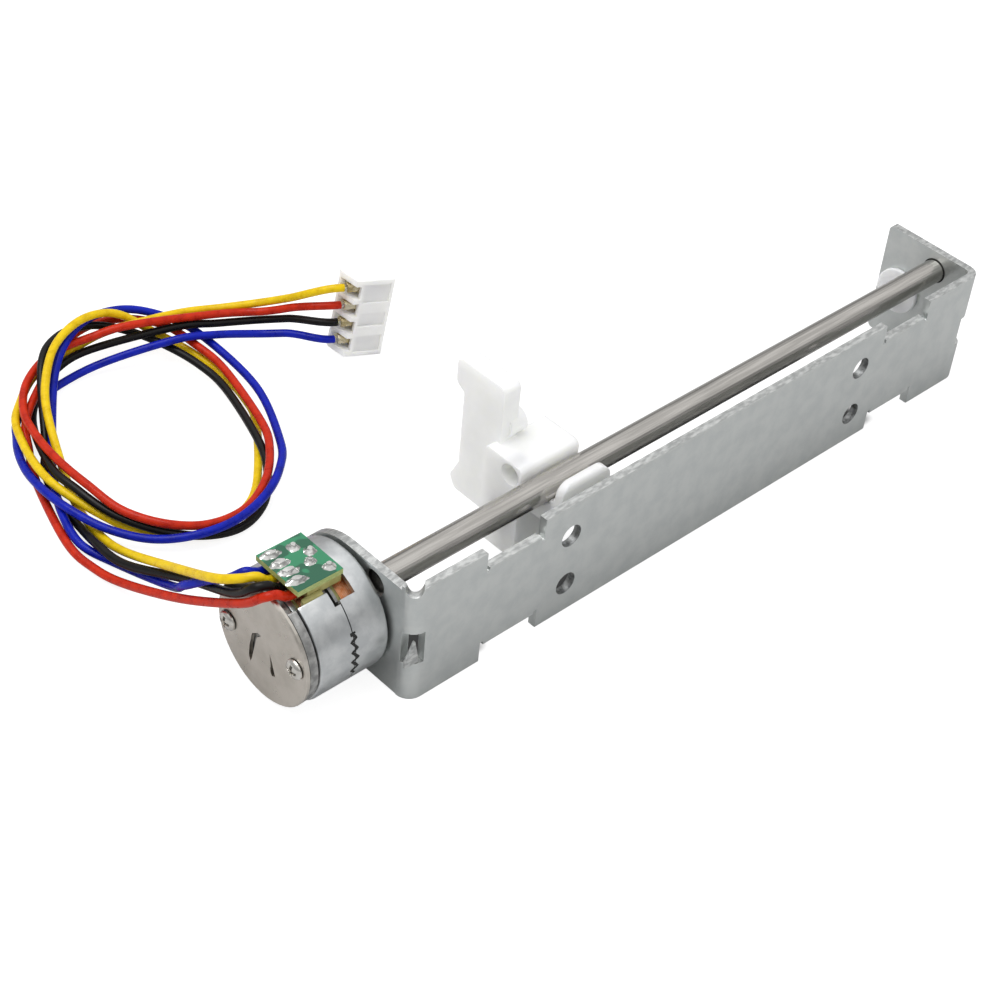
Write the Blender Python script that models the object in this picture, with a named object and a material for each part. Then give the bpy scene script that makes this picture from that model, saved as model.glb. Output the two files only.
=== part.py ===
"""Stepper motor linear slide: a folded bracket holds a guide rod and a lead screw,
a can-stack stepper motor on its short flange turns the screw, and a moulded
carriage runs along both. Metres, +Z up. The origin is the centre of the four
mounting holes on the outer face of the long plate; +Y points behind the plate."""

import math

import bmesh
import bpy
from mathutils import Matrix, Vector

MM = 0.001

# Bracket: one folded sheet
SHEET = 1.0 * MM
PLATE_TOP = 7.9 * MM
PLATE_BOTTOM = -7.5 * MM
MOTOR_FLANGE_X = -46.2 * MM
FAR_FLANGE_X = 45.75 * MM
FAR_FLANGE_DEPTH = 13.6 * MM
BEND_RADIUS = 1.8 * MM
FLANGE_HALF_HEIGHT = 7.4 * MM
FLANGE_CORNER = 0.6 * MM
HOLE_SPACING_X = 47.75 * MM
HOLE_SPACING_Z = 6.86 * MM
HOLE_DIAMETER = 2.8 * MM
NOTCH_DEPTH = 2.2 * MM
NOTCH_WIDTH = 8.2 * MM
NOTCH_CENTRES_X = (-32.1 * MM, 31.65 * MM)
NOTCH_SLIT = 0.45 * MM
WINDOW_HEIGHT = 4.2 * MM
WINDOW_BOTTOM = -2.4 * MM
WINDOW_DEPTH = 1.5 * MM
WINDOW_REACH = 1.95 * MM
RELIEF_WIDTH = 1.9 * MM
RELIEF_DEPTH = 1.1 * MM

# Guide rod and lead screw
ROD_DIAMETER = 3.0 * MM
ROD_Y = 6.0 * MM
ROD_Z = 5.28 * MM
ROD_END_RECESS = 0.35 * MM
ROD_CHAMFER = 0.25 * MM
SCREW_Y = 10.25 * MM
SCREW_DIAMETER = 2.7 * MM
SCREW_CHAMFER = 0.4 * MM
JOURNAL_DIAMETER = 2.0 * MM
BALL_DIAMETER = 1.6 * MM

# Bearings
BUSH_DIAMETER = 6.0 * MM
BUSH_NECK_DIAMETER = 4.4 * MM
BUSH_HEAD = 0.6 * MM
FRONT_BUSH_DIAMETER = 5.0 * MM
FRONT_BUSH_HEAD = 0.6 * MM

# Motor
CAN_DIAMETER = 14.8 * MM
CAN_WALL = 0.6 * MM
CAN_LENGTH = 4.4 * MM
CAN_EDGE = 0.5 * MM
CLAW_COUNT = 5
CLAW_THICKNESS = 0.5 * MM
CLAW_LENGTH = 2.9 * MM
CLAW_BASE_HALF_ANGLE = math.radians(22)
CLAW_TIP_HALF_ANGLE = math.radians(9)
ROTOR_DIAMETER = 5.8 * MM
ROTOR_HUB_DIAMETER = 3.4 * MM
ROTOR_LENGTH = 7.0 * MM
AIR_GAP = 0.25 * MM
BOBBIN_WALL = 0.35 * MM
BOBBIN_DIAMETER = 12.0 * MM
WINDING_DIAMETER = 11.7 * MM
POLE_PLATE = 0.35 * MM
WINDOW_FRONT_X = -48.95 * MM
WINDOW_INNER = 6.2 * MM
WINDOW_FROM, WINDOW_TO = 54, 128
LEAD_NOTCH_WIDTH = 0.7 * MM
LEAD_NOTCH_TO = 131
REAR_WINDOW_FROM, REAR_WINDOW_TO = 62, 118
RING_PLATE_THICKNESS = 1.0 * MM
RING_PLATE_DIAMETER = 14.3 * MM
COVER_THICKNESS = 0.45 * MM
COVER_DIAMETER = 14.4 * MM
COVER_SCREW_PITCH = 10.86 * MM
COVER_SCREW_ROLL = math.radians(-7.7)
COVER_SCREW_HEAD = 2.4 * MM
COVER_SCREW_HEAD_HEIGHT = 0.6 * MM
COVER_SCREW_SHANK = 1.2 * MM
COVER_SCREW_REACH = 1.3 * MM
COVER_SLOTS = (
    ((1.56, 0.33), (0.59, 1.08), (0.1, 0.96), (0.78, 0.3), (1.22, -1.55), (1.55, -3.16),
     (1.79, -3.79), (2.04, -3.19), (1.96, -1.69)),
    ((-1.26, -0.44), (-1.69, -1.38), (-2.2, -2.96), (-1.71, -3.23), (-1.42, -2.75),
     (-1.47, -1.7)),
)

# Circuit board on the motor
BOARD_LENGTH = 5.7 * MM
BOARD_WIDTH = 6.75 * MM
BOARD_THICKNESS = 0.7 * MM
BOARD_X = -52.2 * MM
BOARD_Y = 10.46 * MM
BOARD_TWIST = math.radians(-0.5)
BOARD_GAP = 0.2 * MM
PIN_DIAMETER = 0.5 * MM
SOLDER_DIAMETER = 1.5 * MM
SOLDER_HEIGHT = 0.55 * MM
PIN_PLACES = ((-51.36, 12.54), (-50.40, 11.04), (-51.33, 9.90), (-50.31, 8.17))
BLOCK_FRONT_X = -49.3 * MM
BLOCK_REAR_X = -53.6 * MM
BLOCK_WIDTH = 5.6 * MM
BLOCK_GAP = 0.45 * MM

# Carriage, placed where the photograph shows it
BLOCK_X = -20.1 * MM
NUT_LENGTH = 8.6 * MM
NUT_FRONT_Y = 7.6 * MM
NUT_BACK_Y = 12.15 * MM
NUT_BOTTOM = -5.2 * MM
NUT_TOP = 7.5 * MM
NUT_ROUND = 0.7 * MM
NUT_KEEL_ROUND = 1.9 * MM
TAB_LENGTH = 7.2 * MM
TAB_X = -19.35 * MM
TAB_FRONT_Y = 2.7 * MM
TAB_ROUND = 0.8 * MM
TAB_CORNER = 1.6 * MM
TAB_BACK_Y = 4.4 * MM
TAB_BOTTOM = 1.4 * MM
ARM_X = -21.9 * MM
ARM_NEAR_Y = 12.4 * MM
ARM_THICKNESS = 2.4 * MM
ARM_OVERLAP = 1.2 * MM
ARM_BACK_Y = 18.45 * MM
ARM_TOP = 14.8 * MM
ARM_HEAD_BACK_Y = 19.75 * MM
ARM_HEAD_BOTTOM = 11.5 * MM
ARM_FLARE_Y = 19.7 * MM
ARM_FLARE_TOP = 1.0 * MM
ARM_FLARE_Z = -1.5 * MM
ARM_BOTTOM = -3.1 * MM
ARM_ROUND = 0.8 * MM
BOSS_DIAMETER = 3.0 * MM
BOSS_HEIGHT = 1.1 * MM
BOSS_Y = 13.4 * MM
BOSS_Z = 8.9 * MM
BLIND_BORE_DIAMETER = 2.6 * MM
BLIND_BORE_DEPTH = 2.0 * MM
BLIND_BORE_Z = 5.9 * MM
BLIND_BORE_Y = 9.3 * MM

# Wires and their connector
WIRE_DIAMETER = 1.0 * MM
WIRE_POINTS = 80
RIM_BEND = 4.0 * MM
RIM_BEND_STEPS = 5
CONTACT_X = -13.8 * MM
CONTACT_Y = 49.9 * MM
CONTACT_PITCH = 2.5 * MM
LOWEST_CONTACT_Z = -5.75 * MM
CONNECTOR_TURN = math.radians(-18)
CONNECTOR_LEAN = math.radians(8)
HOUSING_BASE_Z = -7.5 * MM
HOUSING_HEIGHT = 11.0 * MM
HOUSING_FRONT = -1.5 * MM
HOUSING_BACK = 1.5 * MM
HOUSING_MOUTH = 5.95 * MM
HOUSING_SHOULDER = 1.7 * MM
HOUSING_TOE = 1.0 * MM
HOUSING_TAIL = -0.1 * MM
CHANNEL_WIDTH = 1.85 * MM
CHANNEL_BACK = 0.9 * MM
CHANNEL_FLOOR = -0.9 * MM
CHANNEL_STEP = 0.1 * MM
RIB_HEIGHT = 0.3 * MM
RIBS = ((-3.9, 1.4), (-0.5, 1.5))
RIB_TOP = 0.6 * MM
RIB_FOOT = 0.5 * MM
RIB_INSET = 0.35 * MM
CONTACT_SIZE = 1.45 * MM
CONTACT_LENGTH = 3.3 * MM
CRIMP_LENGTH = 1.5 * MM
CRIMP_SHEET = 0.2 * MM
CRIMP_FROM, CRIMP_TO = -30, 210
EMPTY_SIZE = 5 * MM

# Clearances
RUNNING_GAP = 0.06 * MM
SLIDE_GAP = 0.1 * MM
SEAT_GAP = 0.3 * MM
SEAM_GAP = 0.12 * MM
PLATE_GAP = 0.1 * MM
CUT = 3.0 * MM
ROUND_STEPS = 48
HIDDEN_STEPS = 24
SMALL_STEPS = 16

# Wire routes in millimetres, from under the board to the crimps. The points follow the
# photograph's two passes round the loop, and a strand that lies on another one is higher.
ROUTES = {
    "yellow": (
        (-54, 11.4, 6.8), (-55.2, 11.4, 6.85), (-55.9, 11.45, 7.3), (-56.6, 11.8, 7.85),
        (-57.8, 13, 7.4), (-58.7, 16, 5.8), (-57.5, 25, 0.1), (-56.6, 34.1, -5.1),
        (-56.3, 39, -6.7), (-55.7, 44.1, -6.9), (-54.27, 48.87, -6.39), (-50.67, 57.88, -4.19),
        (-48, 62.1, -2.8), (-44.3, 65.4, -1.4), (-39.6, 66.78, -0.67), (-34.83, 66.81, -1.96),
        (-31.09, 64.62, -4.99), (-28.9, 60.2, -6.31), (-28.2, 55, -6.8), (-28.8, 49.7, -6.9),
        (-30.7, 44.8, -6.9), (-37.2, 36.4, -6.9), (-41.5, 33.5, -6.9), (-46.2, 32.9, -6.9),
        (-50.3, 35.2, -6.9), (-53.4, 39.4, -6.7), (-56.63, 48.7, -4.75), (-54.12, 58.97, -5.42),
        (-50.9, 63.26, -5.49), (-46.6, 66.4, -5.3), (-41.79, 67.58, -5.39), (-37.19, 66.55, -3.74),
        (-32.37, 64.39, -2.7), (-27.29, 63.22, -2.91), (-22.8, 60.9, -2.8), (-18.6, 57.3, -1.6),
        (-16.86, 51.38, 2.19), (-14.87, 50.3, 2.68), (-13.57, 49.82, 2.49),
    ),
    "red": (
        (-54, 8.5, 6.75), (-55.2, 8.5, 6.8), (-55.9, 8.5, 7.25), (-56.6, 8.6, 7.75),
        (-57.7, 9.4, 7.4), (-58.22, 12.46, 4.65), (-58.71, 21.29, -1.05), (-59.2, 30.7, -5.7),
        (-59.75, 35.8, -6.83), (-59.67, 41.11, -6.94), (-56.72, 51.3, -6.91), (-54.5, 56.15, -6.48),
        (-51.71, 60.55, -5.3), (-43.3, 66.7, -4.21), (-38.5, 68.6, -3.71), (-33.41, 67.79, -3.94),
        (-29.72, 64.27, -4.44), (-28.4, 59.3, -5.2), (-28.4, 53.8, -5.5), (-31.2, 43.3, -5.2),
        (-33.7, 38.5, -4.9), (-37.3, 34.7, -5.3), (-41.9, 32.6, -5.7), (-46.9, 32.7, -5.3),
        (-51, 35.1, -4.6), (-53.6, 39.4, -4.2), (-54.4, 44.6, -3.7), (-54.5, 49.9, -3.8),
        (-53.8, 55.2, -4.19), (-52.31, 60.3, -4.4), (-49.2, 64.3, -4.07), (-44.6, 66.3, -3.33),
        (-39.5, 65.8, -2.91), (-34.53, 64.12, -2.21), (-24.5, 60.47, -2.85), (-19.4, 57, -2.6),
        (-16.62, 51.62, 0.38), (-15.2, 50.41, 0.21), (-13.9, 49.93, 0.01),
    ),
    "black": (
        (-54, 9.95, 6.8), (-55.2, 9.95, 6.85), (-55.9, 9.95, 7.35), (-56.6, 10, 7.95),
        (-57.7, 10.9, 7.6), (-57.87, 14.05, 4.71), (-56.95, 22.83, -0.45), (-58, 32.2, -4.69),
        (-58.09, 37.2, -5.56), (-57.2, 42.2, -6.77), (-56.51, 47.3, -6.95), (-54.93, 52.31, -6.89),
        (-51.99, 56.65, -6.7), (-47.04, 64.48, -2.91), (-43, 67.4, -2.26), (-38, 67.9, -2.99),
        (-33.9, 65.9, -4.4), (-31.2, 61.8, -5.4), (-30, 56.7, -5.8), (-30.1, 51.4, -6.1),
        (-33.2, 41.3, -5.7), (-35.5, 36.6, -6.2), (-39, 32.9, -6.8), (-43.6, 31.3, -6.7),
        (-48.2, 32.6, -6.2), (-51.8, 36.2, -5.7), (-54.2, 40.8, -5.2), (-55.37, 45.6, -4.35),
        (-55.27, 50.44, -4.58), (-51.42, 60.06, -6.65), (-48.1, 63.68, -5.77), (-44, 66.14, -5.7),
        (-39.2, 66.03, -4.91), (-29.5, 62.2, -3.62), (-24.5, 60.3, -4.12), (-19.4, 57.2, -4),
        (-16.53, 51.66, -1.8), (-15.53, 50.52, -2.27), (-14.23, 50.04, -2.46),
    ),
    "blue": (
        (-54, 13.1, 6.6), (-55.1, 13.1, 6.65), (-55.9, 13.2, 7), (-56.7, 13.6, 7.2),
        (-57.6, 15.1, 5.7), (-57.64, 18.1, 3.35), (-58.38, 21.26, 0.69), (-57.31, 25.2, -2.95),
        (-57.49, 34.9, -6.72), (-58.85, 39.79, -6.57), (-57.77, 44.89, -6.03), (-55.5, 49.71, -5.88),
        (-52.71, 54.21, -6.23), (-46.67, 62.58, -4.08), (-42.9, 65.7, -2.21), (-38.1, 67.76, -1.84),
        (-32.89, 67.49, -2.55), (-28.8, 64.5, -3.88), (-26.7, 60, -5.2), (-27.2, 49.3, -5.8),
        (-31.4, 39.5, -5.5), (-34.7, 35.3, -5), (-39, 32.4, -4.9), (-44.1, 31.2, -5.1),
        (-49, 32.1, -5.3), (-52.8, 35.1, -5.9), (-55.8, 39.2, -5.6), (-57.6, 43.9, -4.9),
        (-57.7, 49, -5.3), (-56.61, 54.11, -6.19), (-54.31, 59.01, -6.8), (-50.71, 63.05, -6.95),
        (-40.81, 64.62, -6.37), (-31.1, 60.9, -4.2), (-26.3, 58.8, -4.2), (-20.8, 56.3, -5),
        (-16.49, 51.64, -4.09), (-15.86, 50.62, -4.74), (-14.56, 50.15, -4.94),
    ),
}


def material(name, colour, roughness, metallic=0.0):
    """A plain Principled finish."""
    made = bpy.data.materials.new(name)
    made.use_nodes = True
    shader = made.node_tree.nodes["Principled BSDF"]
    shader.inputs["Base Color"].default_value = (*colour, 1.0)
    shader.inputs["Roughness"].default_value = roughness
    shader.inputs["Metallic"].default_value = metallic
    made.diffuse_color = (*colour, 1.0)
    return made


def place(name, bm, finish=None, parent=None, location=(0, 0, 0), turn=0.0):
    """An object from a bmesh. Without a finish it is a cutter or a construction piece."""
    bmesh.ops.recalc_face_normals(bm, faces=bm.faces)
    mesh = bpy.data.meshes.new(name)
    bm.to_mesh(mesh)
    bm.free()
    mesh.shade_smooth()
    mesh.set_sharp_from_angle(angle=math.radians(35))
    made = bpy.data.objects.new(name, mesh)
    bpy.context.collection.objects.link(made)
    made.parent = parent
    made.location = location
    made.rotation_euler.z = turn
    if finish:
        mesh.materials.append(finish)
    else:
        made.hide_render = True
        made.display_type = "WIRE"
    return made


def cut(target, *cutters, solver="EXACT"):
    """Leaves the cutters' shapes out of the target."""
    for cutter in cutters:
        step = target.modifiers.new("cut " + cutter.name, "BOOLEAN")
        step.operation = "DIFFERENCE"
        step.solver = solver
        step.object = cutter


def join(target, *pieces, solver="EXACT"):
    """Adds the pieces' shapes to the target."""
    for piece in pieces:
        step = target.modifiers.new("join " + piece.name, "BOOLEAN")
        step.operation = "UNION"
        step.solver = solver
        step.object = piece


def rounded(outline, steps=6):
    """The outline's points, with an arc at each corner. Each item is (u, v, corner radius)."""
    points = []
    for index, (u, v, radius) in enumerate(outline):
        corner = Vector((u, v))
        if not radius:
            points.append(corner)
            continue
        before = (Vector(outline[index - 1][:2]) - corner).normalized()
        after = (Vector(outline[(index + 1) % len(outline)][:2]) - corner).normalized()
        half = before.angle(after) / 2
        centre = corner + (before + after).normalized() * (radius / math.sin(half))
        start = before * (radius / math.tan(half)) + corner - centre
        sweep = math.pi - 2 * half
        if before.x * after.y - before.y * after.x > 0:
            sweep = -sweep
        for step in range(steps + 1):
            points.append(centre + Matrix.Rotation(sweep * step / steps, 2) @ start)
    return points


def arc(centre, radius, start, end, steps):
    """Points of an arc, in degrees, as (u, v)."""
    angles = [math.radians(start + (end - start) * step / steps) for step in range(steps + 1)]
    return [(centre[0] + radius * math.cos(a), centre[1] + radius * math.sin(a)) for a in angles]


def prism(outline, axis, low, high, edge=0.0):
    """A bmesh of the outline carried along an axis. The outline is (y, z), (x, z) or (x, y)."""
    bm = bmesh.new()
    order = {"X": (2, 0, 1), "Y": (0, 2, 1), "Z": (0, 1, 2)}[axis]
    corners = []
    for point in outline:
        flat = (point[0], point[1], low)
        corners.append(bm.verts.new([flat[order[k]] for k in range(3)]))
    face = bm.faces.new(corners)
    carried = bmesh.ops.extrude_face_region(bm, geom=[face])["geom"]
    step = Vector([(0, 0, high - low)[order[k]] for k in range(3)])
    moved = [item for item in carried if isinstance(item, bmesh.types.BMVert)]
    bmesh.ops.translate(bm, verts=moved, vec=step)
    bmesh.ops.recalc_face_normals(bm, faces=bm.faces)
    if edge:
        sharp = [e for e in bm.edges if e.calc_face_angle() > math.radians(40)]
        bmesh.ops.bevel(bm, geom=sharp, offset=edge, segments=2, profile=0.5, affect="EDGES")
    return bm


def box(low, high, edge=0.0):
    """A bmesh of a block between two corners."""
    outline = ((low[0], low[1]), (high[0], low[1]), (high[0], high[1]), (low[0], high[1]))
    return prism(outline, "Z", low[2], high[2], edge)


def rod_along(axis, centre, radius, low, high, steps=ROUND_STEPS):
    """A bmesh of a round bar along an axis. centre is its two other coordinates."""
    return prism(arc(centre, radius, 0, 360 - 360 / steps, steps - 1), axis, low, high)


def turned(profile, steps=ROUND_STEPS):
    """A bmesh of a profile of (x, radius) turned round the X axis. One that starts and ends
    on the axis is left open there."""
    bm = bmesh.new()
    verts = [bm.verts.new((x, 0, radius)) for x, radius in profile]
    pairs = list(zip(verts, verts[1:]))
    if profile[0][1] or profile[-1][1]:
        pairs.append((verts[-1], verts[0]))
    edges = [bm.edges.new(pair) for pair in pairs]
    bmesh.ops.spin(
        bm, geom=verts + edges, cent=(0, 0, 0), axis=(1, 0, 0), angle=math.tau, steps=steps
    )
    bmesh.ops.remove_doubles(bm, verts=bm.verts, dist=MM / 10000)
    return bm


def empty(name, location):
    """An axis or a datum that pieces hang on."""
    made = bpy.data.objects.new(name, None)
    made.empty_display_size = EMPTY_SIZE
    bpy.context.collection.objects.link(made)
    made.location = location
    return made


def build_bracket(finish):
    """The folded channel: plate, two flanges, notches, holes and bend windows."""
    inner_radius = BEND_RADIUS - SHEET
    tip = SCREW_Y + FLANGE_HALF_HEIGHT
    outline = rounded((
        (MOTOR_FLANGE_X, tip, 0),
        (MOTOR_FLANGE_X, 0, BEND_RADIUS),
        (FAR_FLANGE_X, 0, BEND_RADIUS),
        (FAR_FLANGE_X, FAR_FLANGE_DEPTH, 0),
        (FAR_FLANGE_X - SHEET, FAR_FLANGE_DEPTH, 0),
        (FAR_FLANGE_X - SHEET, SHEET, inner_radius),
        (MOTOR_FLANGE_X + SHEET, SHEET, inner_radius),
        (MOTOR_FLANGE_X + SHEET, tip, 0),
    ))
    bracket = place("bracket", prism(outline, "Z", PLATE_BOTTOM, PLATE_TOP), finish)
    cutters = []

    # The motor flange ends in a half circle round the screw's axis
    high = PLATE_TOP + CUT
    reach = tip + CUT
    trim = [(BEND_RADIUS, high), (reach, high), (reach, -high), (BEND_RADIUS, -high)]
    trim.append((BEND_RADIUS, -FLANGE_HALF_HEIGHT))
    trim += arc((SCREW_Y, 0), FLANGE_HALF_HEIGHT, -90, 90, 24)
    trim.append((BEND_RADIUS, FLANGE_HALF_HEIGHT))
    low_x = MOTOR_FLANGE_X - CUT
    cutters.append(place("flange trim", prism(trim, "X", low_x, MOTOR_FLANGE_X + BEND_RADIUS)))

    # The far flange has rounded corners
    depth = FAR_FLANGE_DEPTH
    corner = [(depth - FLANGE_CORNER, high), (depth + CUT, high)]
    corner += [(depth + CUT, -high), (depth - FLANGE_CORNER, -high)]
    centre_low = (depth - FLANGE_CORNER, PLATE_BOTTOM + FLANGE_CORNER)
    centre_high = (depth - FLANGE_CORNER, PLATE_TOP - FLANGE_CORNER)
    corner += arc(centre_low, FLANGE_CORNER, -90, 0, 6)
    corner += arc(centre_high, FLANGE_CORNER, 0, 90, 6)
    high_x = FAR_FLANGE_X + CUT
    cutters.append(place("far corners", prism(corner, "X", FAR_FLANGE_X - SHEET - CUT, high_x)))

    # Notches in both long edges, each with a relief slit at its corners
    for index, centre in enumerate(NOTCH_CENTRES_X):
        half = NOTCH_WIDTH / 2
        slit = half - NOTCH_SLIT
        for side, edge in (("top", PLATE_TOP), ("bottom", PLATE_BOTTOM)):
            inward = -1 if side == "top" else 1
            out = edge - inward * CUT
            floor = edge + inward * NOTCH_DEPTH
            deep = floor + inward * NOTCH_SLIT
            notch = [(centre - half, out), (centre + half, out), (centre + half, deep)]
            notch += [(centre + slit, deep), (centre + slit, floor), (centre - slit, floor)]
            notch += [(centre - slit, deep), (centre - half, deep)]
            name = f"notch {side} {index}"
            cutters.append(place(name, prism(notch, "Y", -CUT, SHEET + CUT)))

    # Four mounting holes
    for x in (-HOLE_SPACING_X / 2, HOLE_SPACING_X / 2):
        for z in (-HOLE_SPACING_Z / 2, HOLE_SPACING_Z / 2):
            hole = rod_along("Y", (x, z), HOLE_DIAMETER / 2, -CUT, SHEET + CUT, 32)
            cutters.append(place("mounting hole", hole))

    # A window through each bend, and the relief notch on top of the motor's bend
    for name, face, side in (("near", MOTOR_FLANGE_X, 1), ("far", FAR_FLANGE_X, -1)):
        low = min(face - side * CUT, face + side * WINDOW_REACH)
        high_x = max(face - side * CUT, face + side * WINDOW_REACH)
        window = box(
            (low, -CUT, WINDOW_BOTTOM), (high_x, WINDOW_DEPTH, WINDOW_BOTTOM + WINDOW_HEIGHT)
        )
        cutters.append(place("window " + name, window))
    half = RELIEF_WIDTH / 2
    floor = PLATE_TOP - RELIEF_DEPTH
    relief = [(half, PLATE_TOP + CUT), (-half, PLATE_TOP + CUT)]
    relief += arc((0, floor + half), half, 180, 360, 12)
    bend = (MOTOR_FLANGE_X + BEND_RADIUS, BEND_RADIUS, 0)
    relief_cutter = place("bend relief", prism(relief, "Y", -BEND_RADIUS - CUT, 0))
    relief_cutter.location = bend
    relief_cutter.rotation_euler.z = math.radians(-45)
    cutters.append(relief_cutter)

    # Holes for the rod and the two bearing bushes
    rod_hole = ROD_DIAMETER / 2 + SLIDE_GAP
    cutters.append(place("rod holes", rod_along("X", (ROD_Y, ROD_Z), rod_hole, low_x, high_x_end())))
    neck = BUSH_NECK_DIAMETER / 2 + SLIDE_GAP
    cutters.append(place("bush holes", rod_along("X", (SCREW_Y, 0), neck, low_x, high_x_end())))
    cut(bracket, *cutters, solver="MANIFOLD")
    return bracket


def high_x_end():
    """Just past the far flange."""
    return FAR_FLANGE_X + CUT


def build_rod(finish):
    """The ground guide rod, held in both flanges."""
    low = MOTOR_FLANGE_X + ROD_END_RECESS
    high = FAR_FLANGE_X - ROD_END_RECESS
    radius = ROD_DIAMETER / 2
    chamfer = ROD_CHAMFER
    profile = [(low, 0), (low, radius - chamfer), (low + chamfer, radius)]
    profile += [(high - chamfer, radius), (high, radius - chamfer), (high, 0)]
    place("guide_rod", turned(profile[::-1], 32), finish, location=(0, ROD_Y, ROD_Z))


def bush_profile(face, side, head_radius, neck_radius, head, length):
    """A flanged bush: its head lies against face, its neck runs back the other way."""
    bore = JOURNAL_DIAMETER / 2 + RUNNING_GAP
    seat = face + side * PLATE_GAP
    front = seat + side * head
    back = face - side * length
    return [(front, bore), (front, head_radius), (seat, head_radius), (seat, neck_radius),
            (back, neck_radius), (back, bore)]


def build_bearings(axis, steel, plastic):
    """The bush in each flange that the screw turns in, and the one at its tail."""
    near = MOTOR_FLANGE_X + SHEET
    profile = bush_profile(near, 1, FRONT_BUSH_DIAMETER / 2, BUSH_NECK_DIAMETER / 2,
                           FRONT_BUSH_HEAD, SHEET)
    place("front_bearing_bush", turned(profile, 32), steel, axis)
    far = FAR_FLANGE_X - SHEET
    profile = bush_profile(far, -1, BUSH_DIAMETER / 2, BUSH_NECK_DIAMETER / 2, BUSH_HEAD, SHEET)
    place("screw_end_bearing", turned(profile, 32), plastic, axis)
    outer = claw_radius() - SLIDE_GAP
    bore = JOURNAL_DIAMETER / 2 + RUNNING_GAP
    low, high = rear_can_back(), rear_can_back() + CAN_WALL
    profile = [(low, bore), (high, bore), (high, outer), (low, outer)]
    place("rear_bearing_bush", turned(profile, HIDDEN_STEPS), steel, axis)


def claw_radius():
    """Inside of the pole claws."""
    return ROTOR_DIAMETER / 2 + AIR_GAP


def front_can_front():
    return MOTOR_FLANGE_X - SEAT_GAP


def front_can_back():
    return front_can_front() - CAN_LENGTH


def rear_can_front():
    return front_can_back() - SEAM_GAP


def rear_can_back():
    return rear_can_front() - CAN_LENGTH


def ring_plate_back():
    return rear_can_back() - PLATE_GAP - RING_PLATE_THICKNESS


def cover_front():
    return ring_plate_back() - PLATE_GAP


def cover_back():
    return cover_front() - COVER_THICKNESS


def pole_bore():
    """Hole in a pole face. Its edge lies inside the claws' thickness."""
    return claw_radius() + CLAW_THICKNESS / 2


def claws(base, side, root, first_angle):
    """The claws that stand on a pole face at base and point along side, as one bmesh.
    They are rooted that deep in the face."""
    bm = bmesh.new()
    inner = claw_radius()
    outer = inner + CLAW_THICKNESS
    steps = 2
    for index in range(CLAW_COUNT):
        middle = first_angle + math.tau * index / CLAW_COUNT
        rings = []
        ends = ((base - side * root, CLAW_BASE_HALF_ANGLE),
                (base + side * CLAW_LENGTH, CLAW_TIP_HALF_ANGLE))
        for x, half in ends:
            angles = [middle - half + 2 * half * step / steps for step in range(steps + 1)]
            loop = [(x, inner * math.cos(a), inner * math.sin(a)) for a in angles]
            loop += [(x, outer * math.cos(a), outer * math.sin(a)) for a in reversed(angles)]
            rings.append([bm.verts.new(point) for point in loop])
        count = len(rings[0])
        for k in range(count):
            nearest = (k + 1) % count
            bm.faces.new((rings[0][k], rings[0][nearest], rings[1][nearest], rings[1][k]))
        bm.faces.new(rings[0])
        bm.faces.new(rings[1])
    bmesh.ops.triangulate(bm, faces=bm.faces)
    return bm


def can_profile(face, side):
    """A cup: closed face at face, open end a can's length along side."""
    outer = CAN_DIAMETER / 2
    end = face + side * CAN_LENGTH
    inside = face + side * CAN_WALL
    rim = outer - CAN_EDGE
    drop = CAN_EDGE * (1 - math.cos(math.radians(45)))
    return [(face, pole_bore()), (inside, pole_bore()), (inside, outer - CAN_WALL),
            (end, outer - CAN_WALL), (end, outer), (face + side * CAN_EDGE, outer),
            (face + side * drop, outer - drop), (face, rim)]


def sector(name, axis, low, high, start, end):
    """A piece of a ring round the screw's axis above the motor, as a cutter."""
    outline = arc((0, 0), CAN_DIAMETER, start, end, 12)
    outline += arc((0, 0), WINDOW_INNER, end, start, 12)
    return place(name, prism(outline, "X", low, high), parent=axis)


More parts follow.
